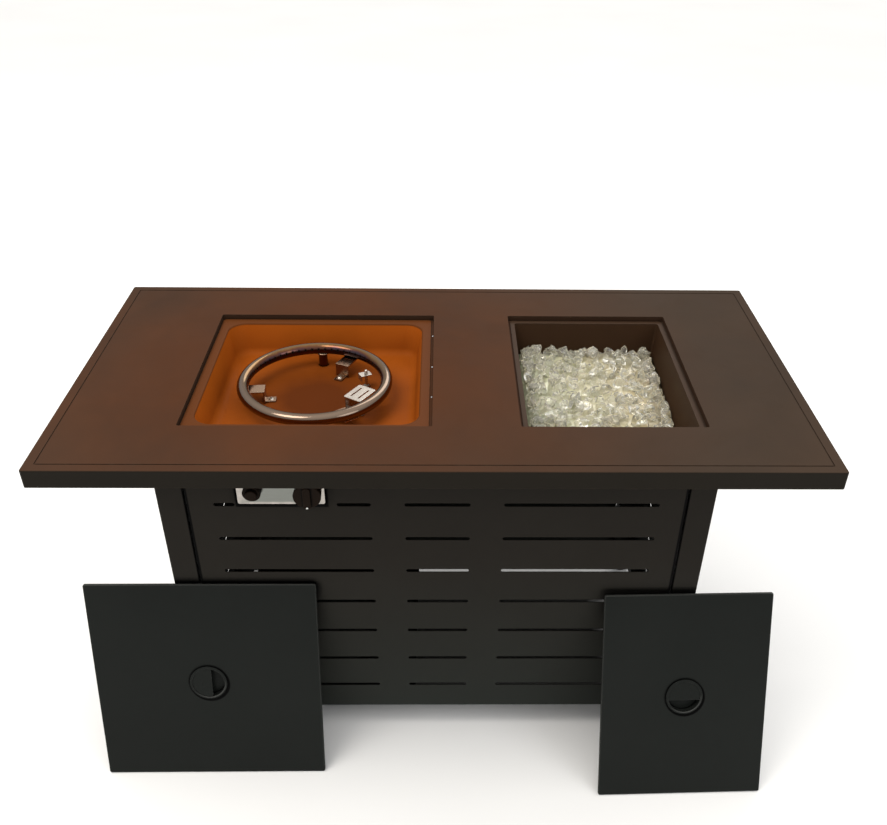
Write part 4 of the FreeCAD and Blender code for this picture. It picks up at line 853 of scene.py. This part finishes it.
screwRows = {
    "bracketScrewHeads": {"node": "bracket_screws", "outward": (0, 0, 1), "body": "table",
                          "slot": "stainless", "finish": "brushedSteel"},
    "fixedHingeScrewHeads": {"node": "fixed_hinge_screws", "outward": (-1, 0, 0), "body": "table",
                             "slot": "zinc_steel", "finish": "zincPlate"},
    "doorHingeScrewHeads": {"node": "door_hinge_screws", "outward": (-1, 0, 0), "body": "door",
                            "slot": "zinc_steel", "finish": "zincPlate"},
    "valveScrewHeads": {"node": "valve_screws", "outward": (0, 1, 0), "body": "table", "slot": "zinc_steel",
                        "finish": "zincPlate"},
}


def buildScrews():
    dice = random.Random(5)
    for name, look in screwRows.items():
        def allHeads(shape):
            for low, high in islands(look["node"]):
                addScrewHead(shape, low, high, look["outward"], dice.uniform(0, math.tau))

        heads = addPiece(name, meshFrom(name, allHeads), look["body"], look["finish"])
        keepSharp(heads, crossScrew["sharpAngle"])
        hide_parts(look["node"])
    print("screw heads built:", len(screwRows))


inletLook = {"hexagonTop": 0.0270, "threadTop": 0.0190, "coneTop": 0.0050, "spigotRadius": 0.0040,
             "threadRadius": 0.0079, "threadDepth": 0.0008, "pitch": 0.0014, "rowsPerTurn": 6,
             "throat": 0.0035, "lip": 0.001, "spokes": 36, "chamfer": 0.0010, "blunt": 0.0004,
             "sharpAngle": 30}


def buildInlet():
    # flared gas fitting: hexagon above, thread and cone below
    low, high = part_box("valve_inlet_fitting")
    middle = (low + high) / 2
    look = inletLook

    def ring(shape, level, radiusAt):
        return [shape.verts.new((middle.x + radiusAt(angle) * math.cos(angle),
                                 middle.y + radiusAt(angle) * math.sin(angle), low.z + level))
                for angle in anglesRound(look["spokes"])]

    def thread(shape):
        rings = [ring(shape, 0.0, lambda angle: look["throat"])]
        rings.append(ring(shape, 0.0, lambda angle: look["throat"] + look["lip"]))
        rows = int((look["threadTop"] - look["coneTop"]) / look["pitch"] * look["rowsPerTurn"])
        for row in range(rows + 1):
            level = look["coneTop"] + (look["threadTop"] - look["coneTop"]) * row / rows

            def winding(angle):
                phase = (level / look["pitch"] - angle / math.tau) % 1.0
                return look["threadRadius"] - look["threadDepth"] * abs(2 * phase - 1)

            rings.append(ring(shape, level, winding))
        addRings(shape, rings)

    def hexagon(shape):
        apothem = (high.y - low.y) / 2
        reach = (high.x - low.x) / 2
        bottom, top, chamfer = look["threadTop"], look["hexagonTop"], look["chamfer"]

        def flats(angle):
            side = apothem / math.cos((angle + math.pi / 2) % (math.pi / 3) - math.pi / 6)
            return min(side, reach - look["blunt"])

        def blunted(angle):
            return min(flats(angle), reach - chamfer * 1.6)

        addRings(shape, [ring(shape, bottom, blunted), ring(shape, bottom + chamfer, flats),
                         ring(shape, top - chamfer, flats), ring(shape, top, blunted)])

    def spigot(shape):
        addRings(shape, [ring(shape, look["hexagonTop"], lambda angle: look["spigotRadius"]),
                         ring(shape, high.z - low.z, lambda angle: look["spigotRadius"])])

    def whole(shape):
        thread(shape)
        hexagon(shape)
        spigot(shape)

    inlet = addPiece("inletFitting", meshFrom("inletFitting", whole), "table", "turnedBrass")
    keepSharp(inlet, look["sharpAngle"])
    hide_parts("valve_inlet_fitting")


rivetLook = {"fromFront": (0.0996, 0.1938, 0.3018), "fromRight": 0.0033, "radius": 0.0021, "height": 0.0011,
             "spokes": 20, "rings": 5, "leafDrop": 0.0075}


def buildRivets():
    # rivets in the strip of the ledge that shows beside the pan
    low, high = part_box("burner_ledge")
    look = rivetLook

    def domes(shape):
        for forward in look["fromFront"]:
            seat = Vector((high.x - look["fromRight"], low.y + forward, high.z - look["leafDrop"]))
            rings = []
            for ring in range(look["rings"] + 1):
                lift = math.pi / 2 * ring / (look["rings"] + 1)
                radius = look["radius"] * math.cos(lift)
                rings.append([shape.verts.new(seat + Vector((
                    radius * math.cos(angle), radius * math.sin(angle), look["height"] * math.sin(lift))))
                    for angle in anglesRound(look["spokes"])])
            addRings(shape, rings)

    addPiece("ledgeRivets", meshFrom("ledgeRivets", domes), "table", "zincPlate")


weldLook = {"steps": 48, "radius": 0.0018, "swing": 0.00035, "ripples": 15, "sides": 8, "riserRadius": 0.0075,
            "gap": 0.0008, "lift": 0.0012}


def riserSpot():
    # the lowest vertices of the ring part are those of the riser
    low = burnerSpot[0].z
    bottom = [vertex.co for vertex in parts["ring_burner"].data.vertices if vertex.co.z < low + 0.0005]
    x = (min(spot.x for spot in bottom) + max(spot.x for spot in bottom)) / 2
    y = (min(spot.y for spot in bottom) + max(spot.y for spot in bottom)) / 2
    return Vector((x, y, ringTubeLow + weldLook["lift"]))


def buildRiserWeld():
    # bead where the riser meets the underside of the ring
    look = weldLook
    riser = riserSpot()

    def swept(shape):
        bead = []
        for angle in anglesRound(look["steps"]):
            thick = look["radius"] + look["swing"] * math.sin(angle * look["ripples"])
            outward = Vector((math.cos(angle), math.sin(angle), 0.0))
            path = riser + outward * (look["riserRadius"] + look["gap"])
            bead.append([shape.verts.new(path + outward * thick * math.cos(side)
                                         + Vector((0, 0, thick * math.sin(side))))
                         for side in anglesRound(look["sides"])])
        addRings(shape, bead + [bead[0]], close=False)

    addPiece("riserWeld", meshFrom("riserWeld", swept), "table", "strapSteel")


buildScrews()
buildInlet()
buildRivets()
buildRiserWeld()
print("thread, rivets and weld built")


# Loose glass in the bin

glassFill = {
    "seed": 23,
    "smallest": 0.0105,  # half sizes of a lump
    "largest": 0.0160,
    "corners": 12,
    "cornerReach": (0.82, 1.0),
    "longer": (0.90, 1.15),
    "narrower": (0.75, 1.0),
    "flatness": 0.74,
    "wallGap": 0.0012,
    "wallShare": 1.10,  # of a lump's half size
    "wallWander": 0.0035,
    "liftWander": (-0.0020, 0.0025),
    "bevel": 0.0020,
    "bevelAngle": 24,
    "segments": 2,
}
glassLayers = (
    {"step": 0.0180, "lift": -0.0010, "shift": 0.0, "wander": 0.0035, "share": 1.00},
    {"step": 0.0245, "lift": 0.0070, "shift": 0.5, "wander": 0.0075, "share": 0.78},
)
clearLook = {"colour": (0.982, 0.962, 0.895), "deep": (0.925, 0.922, 0.840), "transmission": 0.90,
             "ior": 1.45, "rimBlend": 0.42, "rimFrom": 0.55, "rimGlow": (0.26, 0.230, 0.165), "bump": 0.12,
             "bumpDepth": 0.0004, "round": 0.0008}


def glassMaterial():
    look = clearLook
    material, tree, shader = newFinish("clearGlass")
    lump = useEffect(tree, "lump", colour=look["colour"], deep=look["deep"])
    feed(tree, shader.inputs["Base Color"], lump["colour"])
    feed(tree, shader.inputs["Roughness"], lump["roughness"])
    shader.inputs["Transmission Weight"].default_value = look["transmission"]
    shader.inputs["IOR"].default_value = look["ior"]
    # painted highlight: the rims of the lumps glow a little
    rim = addNode(tree, "ShaderNodeLayerWeight")
    rim.inputs["Blend"].default_value = look["rimBlend"]
    dark = (0.0, 0.0, 0.0)
    bright = ramp(tree, rim.outputs["Facing"], [(0.0, dark), (look["rimFrom"], dark), (1.0, look["rimGlow"])])
    feed(tree, shader.inputs["Emission Color"], bright)
    shader.inputs["Emission Strength"].default_value = 1.0
    bumped(tree, shader, lump["height"], look)
    return material


packedLook = {"colour": (0.59, 0.54, 0.385), "deep": (0.45, 0.433, 0.312), "gap": (0.29, 0.27, 0.200),
              "gapScale": 75.0, "gapWidth": 0.08, "gapAmount": 0.40, "round": 0.002,
              "tint": [(0.0, (0.84, 0.96, 0.90)), (0.55, (1.0, 0.98, 0.91)), (1.0, (1.0, 0.88, 0.76))]}


def bedMaterial():
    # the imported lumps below, which send back most of the light that reaches them
    look = packedLook
    material, tree, shader = newFinish("packedGlass")
    lump = useEffect(tree, "lump", colour=look["colour"], deep=look["deep"])
    place = objectSpace(tree)
    # painted shade between the packed lumps
    cells = cellField(tree, place, look["gapScale"], "DISTANCE_TO_EDGE")
    gapShade = remap(tree, cells, 0.0, look["gapWidth"], look["gapAmount"], 0.0)
    packed = mixColour(tree, gapShade, lump["colour"], look["gap"])
    low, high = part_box("glass_bed")
    # greener on the left, warmer on the right; the warm end is painted warm light
    tint = ramp(tree, remap(tree, axes(tree, place)["X"], low.x, high.x), look["tint"])
    feed(tree, shader.inputs["Base Color"], mixColour(tree, 1.0, packed, tint, "MULTIPLY"))
    feed(tree, shader.inputs["Roughness"], lump["roughness"])
    feed(tree, shader.inputs["Normal"], useEffect(tree, "rounded", width=look["round"])["normal"])
    return material


finishes["clearGlass"] = glassMaterial()
finishes["packedGlass"] = bedMaterial()
bedMesh = parts["glass_bed"].data
bedFaces = BVHTree.FromPolygons([vertex.co for vertex in bedMesh.vertices],
                                [tuple(polygon.vertices) for polygon in bedMesh.polygons])


def bedLevel(x, y):
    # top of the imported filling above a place
    hit = bedFaces.ray_cast(Vector((x, y, 1.0)), Vector((0.0, 0.0, -1.0)))[0]
    return hit.z if hit else None


def lumpShape(shape, centre, size, dice):
    look = glassFill
    spin = Matrix.Rotation(dice.uniform(0, math.tau), 3, Vector((dice.gauss(0, 1), dice.gauss(0, 1), 1.0)))
    stretch = Vector((dice.uniform(*look["longer"]), dice.uniform(*look["narrower"]), look["flatness"]))
    corners = []
    for _ in range(look["corners"]):
        point = Vector((dice.gauss(0, 1), dice.gauss(0, 1), dice.gauss(0, 1))).normalized()
        point *= size * dice.uniform(*look["cornerReach"])
        point = Vector((point.x * stretch.x, point.y * stretch.y, point.z * stretch.z))
        corners.append(shape.verts.new(centre + spin @ point))
    hull = bmesh.ops.convex_hull(shape, input=corners)
    spare = [item for item in hull["geom_interior"] if isinstance(item, bmesh.types.BMVert)]
    bmesh.ops.delete(shape, geom=spare, context="VERTS")


def layLumps(dice):
    # each layer is a loose grid over the filling; the upper one lies in the hollows of the lower
    look = glassFill
    low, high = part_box("glass_bed")
    placed = []
    for layer in glassLayers:
        step, wander = layer["step"], layer["wander"]
        columns, rows = int((high.x - low.x) / step) + 1, int((high.y - low.y) / step) + 1
        for column in range(columns):
            for row in range(rows):
                size = dice.uniform(look["smallest"], look["largest"])
                x = low.x + (column + layer["shift"]) * step + dice.uniform(-wander, wander)
                y = low.y + (row + layer["shift"]) * step + dice.uniform(-wander, wander)
                lift = layer["lift"] + dice.uniform(*look["liftWander"])
                kept = dice.random() < layer["share"]
                margin = size * look["wallShare"] + look["wallGap"] + dice.uniform(0.0, look["wallWander"])
                x = min(max(x, low.x + margin), high.x - margin)
                y = min(max(y, low.y + margin), high.y - margin)
                level = bedLevel(x, y)
                if kept and level is not None:
                    placed.append((Vector((x, y, level + lift)), size))
    return placed


def buildGlass():
    dice = random.Random(glassFill["seed"])
    placed = layLumps(dice)

    def allLumps(shape):
        for spot, size in placed:
            lumpShape(shape, spot, size, dice)

    lumps = addPiece("glassLumps", meshFrom("glassLumps", allLumps), "table", "clearGlass")
    bevel = lumps.modifiers.new("tumbled", "BEVEL")
    bevel.width = glassFill["bevel"]
    bevel.segments = glassFill["segments"]
    bevel.limit_method = "ANGLE"
    bevel.angle_limit = math.radians(glassFill["bevelAngle"])
    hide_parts("glass_chunks")
    print("glass lumps:", len(placed))


bedLook = {"columns": 52, "rows": 68, "sink": 0.0015, "dimple": 0.0030, "dimpleScale": 90.0,
           "edgeKept": 0.0012, "edgeInset": 0.004, "edgeDrop": 0.010, "edgeReach": 0.012,
           "draft": 0.0035, "draftBeyond": (0.1, 0.15), "floorGap": 0.0005}


def buildGlassBed():
    # dimpled body of glass under the single lumps, inside the CAD filling
    look = bedLook
    low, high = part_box("glass_bed")
    middle = (low + high) / 2
    columns, rows, kept, inset = look["columns"], look["rows"], look["edgeKept"], look["edgeInset"]
    left, right, front, back = low.x + kept, high.x - kept, low.y + kept, high.y - kept

    def topSpot(column, row):
        x = left + (right - left) * column / columns
        y = front + (back - front) * row / rows
        rough = abs(fieldNoise.noise(Vector((x, y, 0.0)) * look["dimpleScale"])) * look["dimple"]
        level = bedLevel(min(max(x, left + inset), right - inset), min(max(y, front + inset), back - inset))
        inward = min(x - left, right - x, y - front, back - y)
        edgeDrop = look["edgeDrop"] * max(0.0, 1 - inward / look["edgeReach"])
        return x, y, level - look["sink"] - rough - edgeDrop

    def footSpot(spot):
        # the sides lean inwards a little towards the floor of the bin
        place = [spot.x, spot.y, low.z + look["floorGap"]]
        for axis, beyond in enumerate(look["draftBeyond"]):
            away = place[axis] - middle[axis]
            if abs(away) > beyond:
                place[axis] -= math.copysign(look["draft"], away)
        return place

    def shapeBed(shape):
        grid = [[shape.verts.new(topSpot(column, row)) for row in range(rows + 1)]
                for column in range(columns + 1)]
        for column in range(columns):
            for row in range(rows):
                shape.faces.new((grid[column][row], grid[column + 1][row],
                                 grid[column + 1][row + 1], grid[column][row + 1]))
        rim = [grid[column][0] for column in range(columns)] + grid[columns][:rows]
        rim += [grid[column][rows] for column in range(columns, 0, -1)] + grid[0][rows:0:-1]
        foot = [shape.verts.new(footSpot(vertex.co)) for vertex in rim]
        addRings(shape, [foot, rim], close=False)
        shape.faces.new(list(reversed(foot)))
        bmesh.ops.recalc_face_normals(shape, faces=shape.faces)

    bed = addPiece("glassBed", meshFrom("glassBed", shapeBed), "table", "packedGlass")
    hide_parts("glass_bed")


buildGlass()
buildGlassBed()
print("glass bed built")


# Floor, lamps and camera

floorLook = {"reach": 40.0, "drop": 0.0002, "colour": (0.90, 0.90, 0.895), "mottle": (0.87, 0.87, 0.865),
             "roughness": 0.8, "specular": 0.2, "underShadow": (0.05, 0.048, 0.045), "underFrom": 0.045,
             "underTo": 0.105}


def underShadowShare(tree):
    # painted shadow on the floor: 1 well inside the four legs, 0 outside them
    low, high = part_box("post_front_left")[0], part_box("post_back_right")[1]
    split = axes(tree, objectSpace(tree))
    besideX = calc(tree, "MINIMUM", calc(tree, "SUBTRACT", split["X"], low.x),
                   calc(tree, "SUBTRACT", high.x, split["X"]))
    besideY = calc(tree, "MINIMUM", calc(tree, "SUBTRACT", split["Y"], low.y),
                   calc(tree, "SUBTRACT", high.y, split["Y"]))
    nearest = calc(tree, "MINIMUM", besideX, besideY)
    return remap(tree, nearest, floorLook["underFrom"], floorLook["underTo"])


def buildFloor():
    look = floorLook

    def flat(shape):
        corners = ((-1, -1), (1, -1), (1, 1), (-1, 1))
        shape.faces.new([shape.verts.new((x * look["reach"], y * look["reach"], -look["drop"]))
                         for x, y in corners])

    mesh = meshFrom("studioFloor", flat)
    studioFloor = bpy.data.objects.new("studioFloor", mesh)
    bpy.context.scene.collection.objects.link(studioFloor)
    material, tree, shader = newFinish("paleFloor")
    mottle = remap(tree, noiseField(tree, objectSpace(tree), 1.3, 4.0), 0.3, 0.7)
    plain = mixColour(tree, mottle, look["colour"], look["mottle"])
    feed(tree, shader.inputs["Base Color"], mixColour(tree, underShadowShare(tree), plain, look["underShadow"]))
    shader.inputs["Roughness"].default_value = look["roughness"]
    shader.inputs["Specular IOR Level"].default_value = look["specular"]
    mesh.materials.append(material)


lamps = {
    "keyLamp": {"place": (-1.3, -0.6, 3.2), "aim": (-0.1, 0.0, 0.45), "size": 1.6, "watts": 42.0,
                "colour": (1.0, 0.95, 0.88)},
    "fillLamp": {"place": (2.4, -1.9, 2.3), "aim": (0.1, 0.0, 0.4), "size": 1.8, "watts": 16.0,
                 "colour": (0.93, 0.96, 1.0)},
    "backLamp": {"place": (0.6, 2.6, 2.6), "aim": (0.0, 0.1, 0.5), "size": 1.8, "watts": 26.0,
                 "colour": (1.0, 0.98, 0.95)},
}


def buildLamps():
    for name, look in lamps.items():
        data = bpy.data.lights.new(name, "AREA")
        data.shape = "DISK"
        data.size = look["size"]
        data.energy = look["watts"]
        data.color = look["colour"]
        lamp = bpy.data.objects.new(name, data)
        lamp.location = look["place"]
        towards = Vector(look["aim"]) - Vector(look["place"])
        lamp.rotation_euler = towards.to_track_quat("-Z", "Y").to_euler()
        bpy.context.scene.collection.objects.link(lamp)


skyLook = {"overhead": (1.56, 1.53, 1.48), "horizon": (0.30, 0.31, 0.33)}


def buildSky():
    # a large soft room: bright overhead, dimmer towards the walls
    world = bpy.data.worlds.new("softRoom")
    world.use_nodes = True
    tree = world.node_tree
    outward = addNode(tree, "ShaderNodeTexCoord").outputs["Generated"]
    height = remap(tree, axes(tree, outward)["Z"], 0.0, 1.0)
    feed(tree, tree.nodes["Background"].inputs["Color"],
         mixColour(tree, height, skyLook["horizon"], skyLook["overhead"]))
    bpy.context.scene.world = world
    bpy.context.scene.view_settings.view_transform = "Standard"


cameraLook = {
    "place": (0.004714, -1.290544, 1.333937),
    "turn": (54.25555, -0.72423, -0.78712),
    "lens": 38.2931,  # on a sensor 36 mm wide
    "shift": (-0.016739, 0.074988),
}


def buildCamera():
    data = bpy.data.cameras.new("photoCamera")
    data.sensor_width = 36.0
    data.lens = cameraLook["lens"]
    data.shift_x, data.shift_y = cameraLook["shift"]
    camera = bpy.data.objects.new("photoCamera", data)
    camera.location = cameraLook["place"]
    camera.rotation_euler = [math.radians(angle) for angle in cameraLook["turn"]]
    bpy.context.scene.collection.objects.link(camera)
    bpy.context.scene.camera = camera


buildFloor()
buildLamps()
buildSky()
buildCamera()
print("floor, lamps and camera placed")
